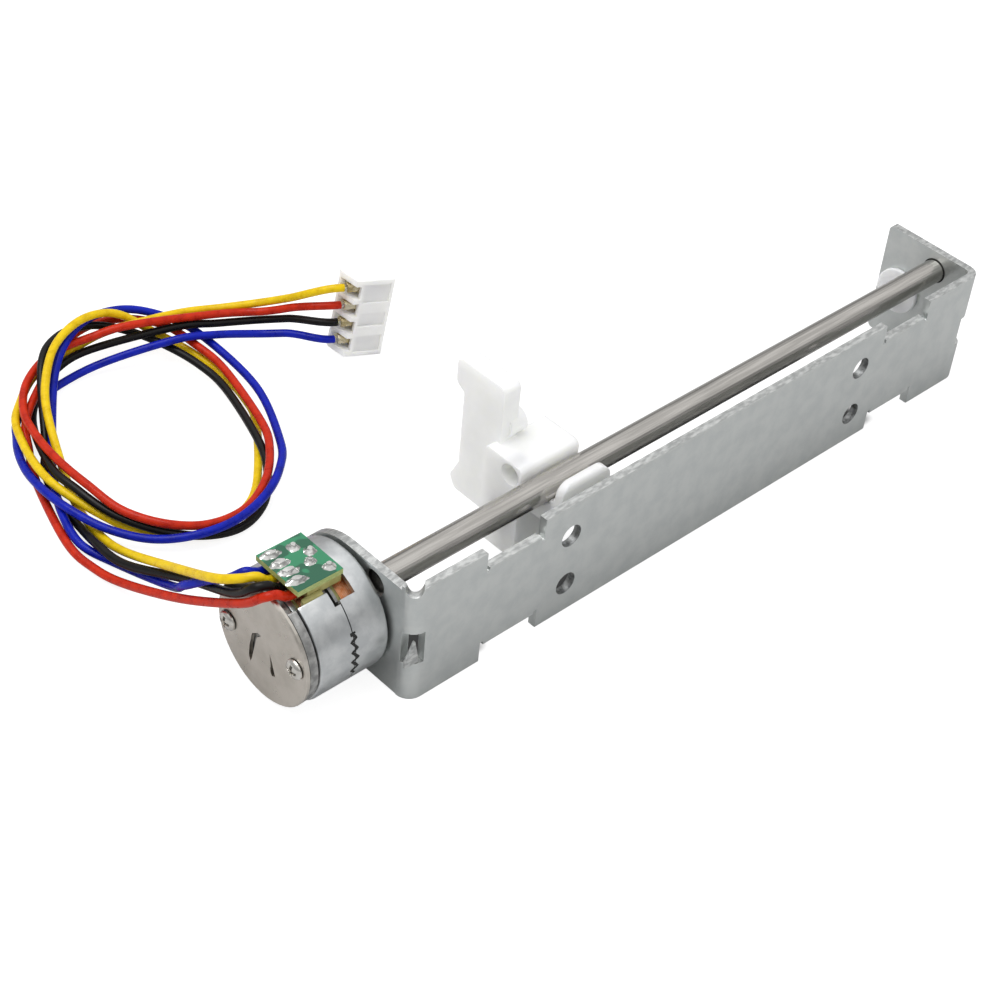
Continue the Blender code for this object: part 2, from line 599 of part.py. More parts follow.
def build_motor(axis, finishes):
    """Cans with their claws, pole plates, bobbins, windings, ring plate and end cover."""
    zinc, nickel, rough, copper, bobbin_plastic, bright = finishes
    seam_middle = front_can_back() - SEAM_GAP / 2
    notch_back = rear_can_front() - LEAD_NOTCH_WIDTH
    front_window = sector("front window", axis, seam_middle, WINDOW_FRONT_X, WINDOW_FROM, WINDOW_TO)
    lead_notch = sector("lead notch", axis, notch_back, seam_middle, WINDOW_FROM, LEAD_NOTCH_TO)
    rear_window = sector("rear window", axis, rear_can_back() - CUT / 2, notch_back + SEAM_GAP,
                         REAR_WINDOW_FROM, REAR_WINDOW_TO)
    plate_window = sector("plate window", axis, ring_plate_back() - CUT / 20, rear_can_back(),
                          REAR_WINDOW_FROM, REAR_WINDOW_TO)
    quarter = math.radians(90)
    offset = math.pi / CLAW_COUNT
    halves = (("front", front_can_front(), -1, front_can_back(), (front_window,)),
              ("rear", rear_can_back(), 1, rear_can_front(), (lead_notch, rear_window)))
    for name, face, side, seam, windows in halves:
        can = place(f"motor_{name}_can", turned(can_profile(face, side)), zinc, axis)
        inside = face + side * CAN_WALL
        can_claws = place(f"{name} can claws", claws(inside, side, CAN_WALL / 2, quarter), parent=axis)
        join(can, can_claws, solver="MANIFOLD")
        cut(can, *windows)
        # The inner pole plate closes the cup's open end
        plate_back = seam - side * SEAM_GAP
        plate_face = plate_back - side * POLE_PLATE
        outer = CAN_DIAMETER / 2 - CAN_WALL - SLIDE_GAP
        profile = [(plate_face, pole_bore()), (plate_back, pole_bore()),
                   (plate_back, outer), (plate_face, outer)]
        plate = place(f"{name}_pole_plate", turned(profile, 32), rough, axis)
        plate_claws = claws(plate_face, -side, POLE_PLATE / 2, quarter + offset)
        join(plate, place(f"{name} plate claws", plate_claws, parent=axis), solver="MANIFOLD")
        cut(plate, *windows)
        # Bobbin and winding between the face and the pole plate
        low = inside + side * SLIDE_GAP
        high = plate_face - side * SLIDE_GAP
        core = claw_radius() + CLAW_THICKNESS + SLIDE_GAP
        drum = core + BOBBIN_WALL
        rim = BOBBIN_DIAMETER / 2
        profile = [(low, core), (high, core), (high, rim), (high - side * BOBBIN_WALL, rim),
                   (high - side * BOBBIN_WALL, drum), (low + side * BOBBIN_WALL, drum),
                   (low + side * BOBBIN_WALL, rim), (low, rim)]
        place(f"{name}_bobbin", turned(profile, 32), bobbin_plastic, axis)
        coil_low = low + side * (BOBBIN_WALL + SLIDE_GAP)
        coil_high = high - side * (BOBBIN_WALL + SLIDE_GAP)
        profile = [(coil_low, drum + SLIDE_GAP), (coil_high, drum + SLIDE_GAP),
                   (coil_high, WINDING_DIAMETER / 2), (coil_low, WINDING_DIAMETER / 2)]
        place(f"{name}_winding", turned(profile, 32), copper, axis)

    # Ring plate and end cover, with the lanced thrust leaf's two slots
    high, low = rear_can_back() - PLATE_GAP, ring_plate_back()
    hole = BALL_DIAMETER / 2 + SLIDE_GAP
    edge = RING_PLATE_DIAMETER / 2
    ring = place("motor_ring_plate", turned([(low, hole), (high, hole), (high, edge), (low, edge)],
                                            ROUND_STEPS), rough, axis)
    cut(ring, plate_window)
    edge = COVER_DIAMETER / 2
    fillet = COVER_THICKNESS / 3
    profile = [(cover_front(), 0), (cover_front(), edge), (cover_back() + fillet, edge),
               (cover_back(), edge - fillet), (cover_back(), 0)]
    cover = place("end_cover", turned(profile), nickel, axis)
    back, front = cover_back() - CUT, cover_front() + CUT / 3
    for index, slot in enumerate(COVER_SLOTS):
        outline = [(y * MM, z * MM) for y, z in slot]
        cut(cover, place(f"leaf slot {index}", prism(outline, "X", back, front), parent=axis))
    shank_hole = COVER_SCREW_SHANK / 2 + SLIDE_GAP
    for index, side in enumerate((1, -1)):
        y = side * COVER_SCREW_PITCH / 2 * math.cos(COVER_SCREW_ROLL)
        z = side * COVER_SCREW_PITCH / 2 * math.sin(COVER_SCREW_ROLL)
        drill = rod_along("X", (y, z), shank_hole, back, rear_can_back() - PLATE_GAP / 2, SMALL_STEPS)
        drilled = place(f"screw drill {index}", drill, parent=axis)
        cut(cover, drilled)
        cut(ring, drilled)
        build_cover_screw(f"cover_screw_{index + 1}", axis, (0, y, z), bright)


def build_cover_screw(name, axis, location, finish):
    """A pan-head screw with a cross recess."""
    radius = COVER_SCREW_HEAD / 2
    seat = cover_back() - PLATE_GAP
    top = seat - COVER_SCREW_HEAD_HEIGHT
    shank = COVER_SCREW_SHANK / 2
    tip = cover_back() + COVER_SCREW_REACH
    profile = [(tip, 0), (tip, shank), (seat, shank), (seat, radius)]
    for step in range(4):
        angle = math.radians(15 + 75 * step / 3)
        x = seat - COVER_SCREW_HEAD_HEIGHT * math.sin(angle)
        profile.append((x, radius * math.cos(angle)))
    profile[-1] = (top, 0)
    screw = place(name, turned(profile, SMALL_STEPS), finish, axis, location)
    arm, half = COVER_SCREW_HEAD * 0.3, COVER_SCREW_HEAD * 0.08
    depth = top + COVER_SCREW_HEAD_HEIGHT * 0.55
    for index, (wide, tall) in enumerate(((arm, half), (half, arm))):
        bar = box((top - CUT / 3, -wide, -tall), (depth, wide, tall))
        cut(screw, place(f"{name} recess {index}", bar, parent=axis, location=location))


def build_rotor(axis, steel, magnet, hub_metal):
    """The lead screw with its tail, the rotor on the tail and the thrust ball behind it."""
    journal = JOURNAL_DIAMETER / 2
    crest = SCREW_DIAMETER / 2
    ball = BALL_DIAMETER / 2
    ball_x = cover_front() + PLATE_GAP + ball
    tail = ball_x + ball + PLATE_GAP
    start = MOTOR_FLANGE_X + SHEET + PLATE_GAP + FRONT_BUSH_HEAD + PLATE_GAP
    end = FAR_FLANGE_X - SHEET - PLATE_GAP - BUSH_HEAD - PLATE_GAP
    tip = FAR_FLANGE_X - ROD_END_RECESS
    profile = [(tip, 0), (tip, journal), (end, journal), (end - SCREW_CHAMFER, crest),
               (start + SCREW_CHAMFER, crest), (start, journal), (tail, journal), (tail, 0)]
    place("lead_screw", turned(profile, 32), steel, axis)
    middle = (front_can_front() + rear_can_back()) / 2
    low, high = middle - ROTOR_LENGTH / 2, middle + ROTOR_LENGTH / 2
    hub = ROTOR_HUB_DIAMETER / 2
    inner = journal + RUNNING_GAP
    place("rotor_hub", turned([(low, inner), (high, inner), (high, hub), (low, hub)], HIDDEN_STEPS),
          hub_metal, axis)
    inner, outer = hub + SLIDE_GAP, ROTOR_DIAMETER / 2
    place("rotor_magnet", turned([(low, inner), (high, inner), (high, outer), (low, outer)], 32),
          magnet, axis)
    profile = [(ball_x + ball * math.cos(math.pi * k / 6), ball * math.sin(math.pi * k / 6))
               for k in range(7)]
    profile[0], profile[-1] = (ball_x + ball, 0), (ball_x - ball, 0)
    place("thrust_ball", turned(profile, SMALL_STEPS), steel, axis)


def build_board(board_green, block_plastic, solder):
    """The board over the cans' window, the block under it and the soldered pins."""
    board_bottom = CAN_DIAMETER / 2 + BOARD_GAP
    block_bottom = WINDING_DIAMETER / 2 + BLOCK_GAP
    half_x, half_y = BOARD_LENGTH / 2, BOARD_WIDTH / 2
    board = place(
        "circuit_board",
        box((-half_x, -half_y, 0), (half_x, half_y, BOARD_THICKNESS)),
        board_green, location=(BOARD_X, BOARD_Y, board_bottom), turn=BOARD_TWIST,
    )
    block = place(
        "terminal_block",
        box((BLOCK_REAR_X, SCREW_Y - BLOCK_WIDTH / 2, block_bottom),
            (BLOCK_FRONT_X, SCREW_Y + BLOCK_WIDTH / 2, board_bottom - PLATE_GAP)),
        block_plastic,
    )
    top = board_bottom + BOARD_THICKNESS
    pin, wide = PIN_DIAMETER / 2, SOLDER_DIAMETER / 2
    foot = block_bottom + PLATE_GAP
    hole = pin + SLIDE_GAP
    for index, (x, y) in enumerate(PIN_PLACES):
        place_x, place_y = x * MM, y * MM
        drill = rod_along("Z", (place_x, place_y), hole, foot, top + CUT, SMALL_STEPS)
        drill = place(f"pin drill {index}", drill)
        cut(board, drill)
        cut(block, drill)
        # A pin with the solder cone round its top
        low = top + PLATE_GAP
        profile = [(foot, 0), (foot, pin), (low, pin), (low, wide)]
        profile += [(low + SOLDER_HEIGHT * 0.35, wide * 0.75), (low + SOLDER_HEIGHT, pin * 1.3)]
        profile += [(low + SOLDER_HEIGHT * 1.3, 0)]
        bm = turned(profile, 12)
        bmesh.ops.rotate(bm, verts=bm.verts, matrix=Matrix.Rotation(math.radians(-90), 3, "Y"))
        place(f"terminal_pin_{index + 1}", bm, solder, location=(place_x, place_y, 0))


def build_carriage(datum, finish):
    """One moulding: nut block, tab in front of the rod, floor under it, arm and boss."""
    half = NUT_LENGTH / 2
    # Nut block, seen along the screw
    nut = rounded((
        (NUT_FRONT_Y - SCREW_Y, NUT_TOP, NUT_ROUND),
        (NUT_FRONT_Y - SCREW_Y, NUT_BOTTOM, NUT_KEEL_ROUND),
        (NUT_BACK_Y - SCREW_Y + ARM_OVERLAP, NUT_BOTTOM, NUT_ROUND),
        (NUT_BACK_Y - SCREW_Y + ARM_OVERLAP, NUT_TOP, NUT_ROUND),
    ))
    carriage = place("carriage", prism(nut, "X", -half, half, 0), finish, datum)

    # Tab and floor: a hook under the rod
    tab_x = TAB_X - BLOCK_X
    front, block = TAB_FRONT_Y - SCREW_Y, NUT_FRONT_Y - SCREW_Y + NUT_ROUND
    hook = rounded((
        (front, NUT_TOP, TAB_ROUND),
        (front, TAB_BOTTOM, TAB_ROUND),
        (block, TAB_BOTTOM, 0),
        (block, NUT_TOP - NUT_ROUND, 0),
        (ROD_Y - SCREW_Y, NUT_TOP - NUT_ROUND, 0),
        (TAB_BACK_Y - SCREW_Y, NUT_TOP, 0),
    ))
    hook_piece = place("hook", prism(hook, "X", tab_x - TAB_LENGTH / 2, tab_x + TAB_LENGTH / 2),
                       parent=datum)

    # The tab's upper corners are round, seen from the front
    corner_z = NUT_TOP - TAB_CORNER
    for side in (1, -1):
        edge_x = tab_x + side * TAB_LENGTH / 2
        outline = [(edge_x + side * CUT, corner_z), (edge_x + side * CUT, NUT_TOP + CUT)]
        outline.append((edge_x - side * TAB_CORNER, NUT_TOP + CUT))
        centre = (edge_x - side * TAB_CORNER, corner_z)
        outline += arc(centre, TAB_CORNER, 90, 90 - side * 90, 8)
        name = f"tab corner {side}"
        cut(hook_piece, place(name, prism(outline, "Y", front - CUT, ROD_Y - SCREW_Y), parent=datum))

    # Arm, seen along the screw
    arm_low = ARM_NEAR_Y - SCREW_Y
    arm = rounded((
        (arm_low, ARM_TOP, ARM_ROUND),
        (arm_low, ARM_BOTTOM, ARM_ROUND),
        (ARM_FLARE_Y - SCREW_Y - ARM_ROUND, ARM_BOTTOM, ARM_ROUND),
        (ARM_FLARE_Y - SCREW_Y, ARM_FLARE_Z, ARM_ROUND),
        (ARM_BACK_Y - SCREW_Y, ARM_FLARE_TOP, ARM_ROUND),
        (ARM_BACK_Y - SCREW_Y, ARM_HEAD_BOTTOM - ARM_ROUND, 0),
        (ARM_HEAD_BACK_Y - SCREW_Y, ARM_HEAD_BOTTOM, ARM_ROUND),
        (ARM_HEAD_BACK_Y - SCREW_Y, ARM_TOP, ARM_ROUND),
    ), 4)
    arm_x = ARM_X - BLOCK_X
    arm_piece = place("arm", prism(arm, "X", arm_x - ARM_THICKNESS / 2, arm_x + ARM_THICKNESS / 2,
                                   0), parent=datum)
    boss_x = arm_x + ARM_THICKNESS / 2
    boss = rod_along("X", (BOSS_Y - SCREW_Y, BOSS_Z), BOSS_DIAMETER / 2, boss_x - ARM_THICKNESS / 2,
                     boss_x + BOSS_HEIGHT, 32)
    join(carriage, hook_piece, arm_piece, place("boss", boss, parent=datum))

    # U-slot on the rod, nut bore on the screw, blind bore in the end face
    slot = ROD_DIAMETER / 2 + SLIDE_GAP
    rod_y = ROD_Y - SCREW_Y
    channel = [(rod_y + slot, NUT_TOP + CUT), (rod_y - slot, NUT_TOP + CUT)]
    channel += arc((rod_y, ROD_Z), slot, 180, 360, 20)
    cut(carriage, place("rod slot", prism(channel, "X", -half - CUT, half + CUT), parent=datum))
    bore = SCREW_DIAMETER / 2 + RUNNING_GAP
    cut(carriage, place("nut bore", rod_along("X", (0, 0), bore, -half - CUT, half + CUT, 40),
                        parent=datum))
    blind = rod_along("X", (BLIND_BORE_Y - SCREW_Y, BLIND_BORE_Z), BLIND_BORE_DIAMETER / 2,
                      -half - CUT, -half + BLIND_BORE_DEPTH, 32)
    cut(carriage, place("blind bore", blind, parent=datum))


def smooth_path(points, count):
    """count points of a Catmull-Rom curve through the given ones, close together in the
    bend over the motor's rim and evenly spaced after it."""
    given = [Vector(point) * MM for point in points]
    given = [2 * given[0] - given[1]] + given + [2 * given[-1] - given[-2]]
    fine = []
    steps = 12
    for a, b, c, d in zip(given, given[1:], given[2:], given[3:]):
        for step in range(steps):
            t = step / steps
            fine.append(0.5 * (2 * b + (c - a) * t + (2 * a - 5 * b + 4 * c - d) * t * t
                               + (3 * b - a - 3 * c + d) * t * t * t))
    fine.append(given[-2])
    run = [0.0]
    for before, after in zip(fine, fine[1:]):
        run.append(run[-1] + (after - before).length)
    targets = [RIM_BEND * step / RIM_BEND_STEPS for step in range(RIM_BEND_STEPS)]
    rest = count - 1 - RIM_BEND_STEPS
    targets += [RIM_BEND + (run[-1] - RIM_BEND) * step / rest for step in range(rest + 1)]
    path = []
    index = 0
    for target in targets:
        while index < len(run) - 2 and run[index + 1] < target:
            index += 1
        share = (target - run[index]) / (run[index + 1] - run[index])
        path.append(fine[index].lerp(fine[index + 1], share))
    return path


def build_wire(colour, finish):
    """One insulated wire as a round tube along its route."""
    path = smooth_path(ROUTES[colour], WIRE_POINTS)
    curve = bpy.data.curves.new(f"wire_{colour}", "CURVE")
    curve.dimensions = "3D"
    curve.bevel_depth = WIRE_DIAMETER / 2
    curve.bevel_resolution = 2
    curve.use_fill_caps = True
    spline = curve.splines.new("POLY")
    spline.points.add(len(path) - 1)
    for point, place_at in zip(spline.points, path):
        point.co = (*place_at, 1.0)
    curve.materials.append(finish)
    made = bpy.data.objects.new(f"wire_{colour}", curve)
    bpy.context.collection.objects.link(made)


def build_connector(datum, white, tin):
    """The housing leans on its narrow end. Local X runs into the housing, Z along the row."""
    low, high = HOUSING_BASE_Z, HOUSING_BASE_Z + HOUSING_HEIGHT
    outline = (
        (HOUSING_MOUTH, HOUSING_FRONT), (HOUSING_MOUTH, HOUSING_BACK),
        (HOUSING_TAIL, HOUSING_BACK), (HOUSING_TAIL, CHANNEL_BACK),
        (HOUSING_TOE, HOUSING_FRONT),
    )
    housing = place("connector_housing", prism(outline, "Z", low, high), white, datum)
    half = CHANNEL_WIDTH / 2
    for index in range(len(ROUTES)):
        z = LOWEST_CONTACT_Z + index * CONTACT_PITCH
        channel = box((HOUSING_TAIL - CUT, HOUSING_FRONT - CUT, z - half),
                      (HOUSING_SHOULDER, CHANNEL_BACK, z + half))
        cavity = box((HOUSING_SHOULDER - CUT / 3, CHANNEL_FLOOR, z - half),
                     (HOUSING_MOUTH + CUT, CHANNEL_BACK - CHANNEL_STEP, z + half))
        cut(housing, place(f"channel {index}", channel, parent=datum),
            place(f"cavity {index}", cavity, parent=datum))
        build_contact(f"crimp_contact_{index + 1}", datum, z, tin)
    # The broad face stands back between its ribs
    face = HOUSING_FRONT + RIB_HEIGHT
    edges = [low]
    for centre, width in RIBS:
        edges += [(centre - width / 2) * MM, (centre + width / 2) * MM]
    edges.append(high - RIB_TOP)
    edges[0] = low + RIB_FOOT
    for index in range(0, len(edges), 2):
        bay = box((HOUSING_SHOULDER + RIB_INSET, HOUSING_FRONT - CUT, edges[index]),
                  (HOUSING_MOUTH - RIB_INSET, face, edges[index + 1]))
        cut(housing, place(f"rib bay {index}", bay, parent=datum))


def build_contact(name, datum, z, finish):
    """A stamped contact: a box socket in its cavity and an open barrel round the core."""
    half = CONTACT_SIZE / 2
    start = SEAT_GAP
    socket = box((start + CRIMP_LENGTH, -half, z - half),
                 (start + CRIMP_LENGTH + CONTACT_LENGTH, half, z + half), 0.1 * MM)
    contact = place(name, socket, finish, datum)
    outer, inner = half * 0.95, half * 0.95 - CRIMP_SHEET
    barrel = arc((0, z), outer, CRIMP_FROM, CRIMP_TO, 12)
    barrel += arc((0, z), inner, CRIMP_TO, CRIMP_FROM, 12)
    reach = start + CRIMP_LENGTH + CRIMP_SHEET * 2
    join(contact, place(name + " barrel", prism(barrel, "X", start, reach), parent=datum))
    bore = half - CRIMP_SHEET
    mouth = box((start + CRIMP_LENGTH + CONTACT_LENGTH / 2, -bore, z - bore),
                (start + CRIMP_LENGTH + CONTACT_LENGTH + CUT, bore, z + bore))
    cut(contact, place(name + " mouth", mouth, parent=datum))


def main():
    for old in list(bpy.data.objects):
        bpy.data.objects.remove(old, do_unlink=True)
    zinc = material("zinc plate", (0.62, 0.63, 0.63), 0.38, 1.0)
    steel = material("ground steel", (0.60, 0.58, 0.55), 0.22, 1.0)
    nickel = material("nickel cover", (0.62, 0.58, 0.52), 0.35, 1.0)
    rough = material("rough plate", (0.42, 0.41, 0.39), 0.6, 1.0)
    bright = material("bright screw", (0.75, 0.73, 0.68), 0.25, 1.0)
    white = material("white moulding", (0.86, 0.86, 0.83), 0.45)
    natural = material("natural housing", (0.85, 0.85, 0.81), 0.4)
    bobbin = material("bobbin plastic", (0.62, 0.58, 0.33), 0.5)
    copper = material("copper winding", (0.72, 0.33, 0.15), 0.35, 1.0)
    magnet = material("magnet", (0.10, 0.10, 0.11), 0.5)
    green = material("circuit board", (0.03, 0.25, 0.13), 0.4)
    solder = material("solder", (0.75, 0.75, 0.72), 0.2, 1.0)
    tin = material("tinned contact", (0.66, 0.62, 0.48), 0.3, 1.0)
    jackets = {
        "yellow": material("yellow jacket", (0.80, 0.66, 0.03), 0.35),
        "red": material("red jacket", (0.62, 0.05, 0.03), 0.35),
        "black": material("black jacket", (0.02, 0.02, 0.02), 0.35),
        "blue": material("blue jacket", (0.02, 0.04, 0.50), 0.35),
    }

    screw_axis = empty("screw axis", (0, SCREW_Y, 0))
    build_bracket(zinc)
    build_rod(steel)
    build_bearings(screw_axis, nickel, white)
    build_motor(screw_axis, (zinc, nickel, rough, copper, bobbin, bright))
    build_rotor(screw_axis, steel, magnet, nickel)
    build_board(green, bobbin, solder)
    build_carriage(empty("carriage datum", (BLOCK_X, SCREW_Y, 0)), white)
    for colour, jacket in jackets.items():
        build_wire(colour, jacket)
    lean = CONNECTOR_LEAN
    lift = HOUSING_BASE_Z * (1 - math.cos(lean)) + HOUSING_MOUTH * math.sin(lean)
    connector = empty("connector datum", (CONTACT_X, CONTACT_Y, lift))
    connector.rotation_euler = (0, lean, CONNECTOR_TURN)
    build_connector(connector, natural, tin)


main()
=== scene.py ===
# %% [markdown]
# # Dressing a stepper motor linear slide
# The CAD model already has every piece at its real size. This script loads it as a fixed
# frame and gives it the looks of the real object: zinc-plated sheet, a ground rod, a
# threaded screw, white mouldings, soldered wires. Everything is in metres, in the CAD
# model's own frame, so a piece goes where the CAD says and nothing has to be fitted.

# %% Load the frame
import math

import bmesh
import bpy
from mathutils import Matrix, Vector, noise


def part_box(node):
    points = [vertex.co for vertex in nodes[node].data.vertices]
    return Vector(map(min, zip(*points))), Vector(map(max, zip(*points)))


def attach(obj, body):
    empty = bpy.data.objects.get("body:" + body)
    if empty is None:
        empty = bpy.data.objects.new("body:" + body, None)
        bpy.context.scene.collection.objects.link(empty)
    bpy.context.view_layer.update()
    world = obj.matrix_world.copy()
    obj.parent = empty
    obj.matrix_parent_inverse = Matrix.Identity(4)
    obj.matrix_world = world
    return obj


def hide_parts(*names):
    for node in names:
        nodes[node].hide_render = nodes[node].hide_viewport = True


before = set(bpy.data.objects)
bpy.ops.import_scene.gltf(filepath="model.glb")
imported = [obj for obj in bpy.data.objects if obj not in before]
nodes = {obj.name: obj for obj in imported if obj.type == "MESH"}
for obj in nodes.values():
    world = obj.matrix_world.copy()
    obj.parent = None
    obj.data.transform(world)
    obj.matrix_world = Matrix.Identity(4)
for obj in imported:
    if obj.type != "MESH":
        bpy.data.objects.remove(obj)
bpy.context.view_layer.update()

MM = 0.001
print("pieces in the frame:", len(nodes))

# %% [markdown]
# ## The camera
# The photograph was taken from above the motor end. Its three image axes were worked out
# from the hole pattern, whose real spacing is known, so they are written down as vectors:
# right, up, and back towards the camera. A camera matrix is those three as its columns.
# It would also work to aim the camera at a target with a Track To constraint, but then
# the roll would need a second number.

# %% Camera
camera_data = bpy.data.cameras.new("photo_camera")
camera = bpy.data.objects.new("photo_camera", camera_data)
bpy.context.scene.collection.objects.link(camera)
CAMERA_PLACE = Vector((-152.73, -110.56, 153.71)) * MM
CAMERA_RIGHT = Vector((0.7304, -0.6787, 0.0768))
CAMERA_UP = Vector((0.4035, 0.5194, 0.7533))
CAMERA_BACK = Vector((-0.5511, -0.5192, 0.6532))
turn = Matrix((CAMERA_RIGHT, CAMERA_UP, CAMERA_BACK)).transposed()
camera.matrix_world = Matrix.Translation(CAMERA_PLACE) @ turn.to_4x4()
camera_data.sensor_width = 36
camera_data.lens = 77.43
camera_data.clip_start = 0.01
bpy.context.scene.camera = camera
print("camera stands", round(CAMERA_PLACE.length * 1000), "mm from the origin")

# %% [markdown]
# ## Finishes are small node trees
# A Principled shader with one colour looks like plastic paint. Real surfaces change a
# little from place to place: a plated sheet is mottled, a ground rod has faint streaks, a
# moulding has a soft skin. Each finish below is a Principled shader whose colour,
# roughness or normal is moved a little by a noise. The helper makes the shader and puts
# the numbers that are the same all over straight on its sockets.

# %% A finish
def finish(name, colour, roughness, metallic=0.0, **sockets):
    """A Principled material, with its node tree ready for textures."""
    made = bpy.data.materials.new(name)
    made.use_nodes = True
    made.diffuse_color = (*colour, 1.0)
    shader = made.node_tree.nodes["Principled BSDF"]
    shader.inputs["Base Color"].default_value = (*colour, 1.0)
    shader.inputs["Roughness"].default_value = roughness
    shader.inputs["Metallic"].default_value = metallic
    for socket, value in sockets.items():
        shader.inputs[socket.replace("_", " ")].default_value = value
    return made


def shader_of(made):
    return made.node_tree.nodes["Principled BSDF"]


# %% [markdown]
# ### Textures that move a finish
# A texture needs the same few nodes every time: coordinates, a scale, the noise, a ramp or
# a range, and a link to a socket. The nodes could be laid out one by one, but with a short
# function for each job a finish is only a few lines, and each line says what it does. The
# noise reads object coordinates, so its grains keep their size and move with the piece.

# %% Noises, ramps and bumps
NOISE_LOW, NOISE_HIGH = 0.3, 0.7


def add(made, kind, **settings):
    """A node in the finish's tree."""
    node = made.node_tree.nodes.new("ShaderNode" + kind)
    for key, value in settings.items():
        if key in node.inputs:
            node.inputs[key].default_value = value
        else:
            setattr(node, key, value)
    return node


def wire_up(made, *pairs):
    """Joins output sockets to input sockets."""
    for output, target in pairs:
        made.node_tree.links.new(output, target)


def speckle(made, size, stretch=(1, 1, 1), detail=3.0):
    """A noise whose grains are about size across, in object space."""
    place = add(made, "TexCoord")
    scaled = add(made, "Mapping")
    scaled.inputs["Scale"].default_value = stretch
    grains = add(made, "TexNoise", Scale=1 / size, Detail=detail, Roughness=0.6)
    wire_up(made, (place.outputs["Object"], scaled.inputs["Vector"]),
            (scaled.outputs["Vector"], grains.inputs["Vector"]))
    return grains.outputs["Fac"]


def ramp(made, factor, stops):
    """A colour ramp. Each stop is (position, colour)."""
    node = add(made, "ValToRGB")
    elements = node.color_ramp.elements
    while len(elements) < len(stops):
        elements.new(0.5)
    for element, (position, colour) in zip(elements, stops):
        element.position = position
        element.color = (*colour, 1.0)
    wire_up(made, (factor, node.inputs["Fac"]))
    return node.outputs["Color"]


def spread(made, factor, low, high):
    """A noise's factor carried to a range from low to high."""
    node = add(made, "MapRange")
    node.inputs["To Min"].default_value = low
    node.inputs["To Max"].default_value = high
    node.inputs["From Min"].default_value = NOISE_LOW
    node.inputs["From Max"].default_value = NOISE_HIGH
    wire_up(made, (factor, node.inputs["Value"]))
    return node.outputs["Result"]


def colour_from(made, factor, dark, light, low=0.35, high=0.65):
    """The base colour runs from dark to light with the factor."""
    wire_up(made, (ramp(made, factor, ((low, dark), (high, light))),
                   shader_of(made).inputs["Base Color"]))


def roughness_from(made, factor, low, high):
    wire_up(made, (spread(made, factor, low, high), shader_of(made).inputs["Roughness"]))


def bumped(made, factor, height, strength=1.0):
    """The surface rises and falls by height with the factor."""
    bump = add(made, "Bump")
    bump.inputs["Distance"].default_value = height
    bump.inputs["Strength"].default_value = strength
    shader = shader_of(made)
    if shader.inputs["Normal"].is_linked:
        wire_up(made, (shader.inputs["Normal"].links[0].from_socket, bump.inputs["Normal"]))
    wire_up(made, (factor, bump.inputs["Height"]),
            (bump.outputs["Normal"], shader.inputs["Normal"]))


# %% [markdown]
# ## The wires come first
# Four insulated wires leave the motor under the circuit board, droop to the table, run
# nearly twice round a loose loop and rise into the connector. Their routes are the ones
# that the CAD tubes follow, repeated here because this script reads no other file. A
# smooth curve through the route's points is read at eight steps for each stretch and
# given a round bevel. A Bezier curve would need handles for every point; a poly curve
# through many points keeps exactly the length that was measured. Only the last stretch,
# into the crimps, leaves the CAD route: it is drawn as one even bend.

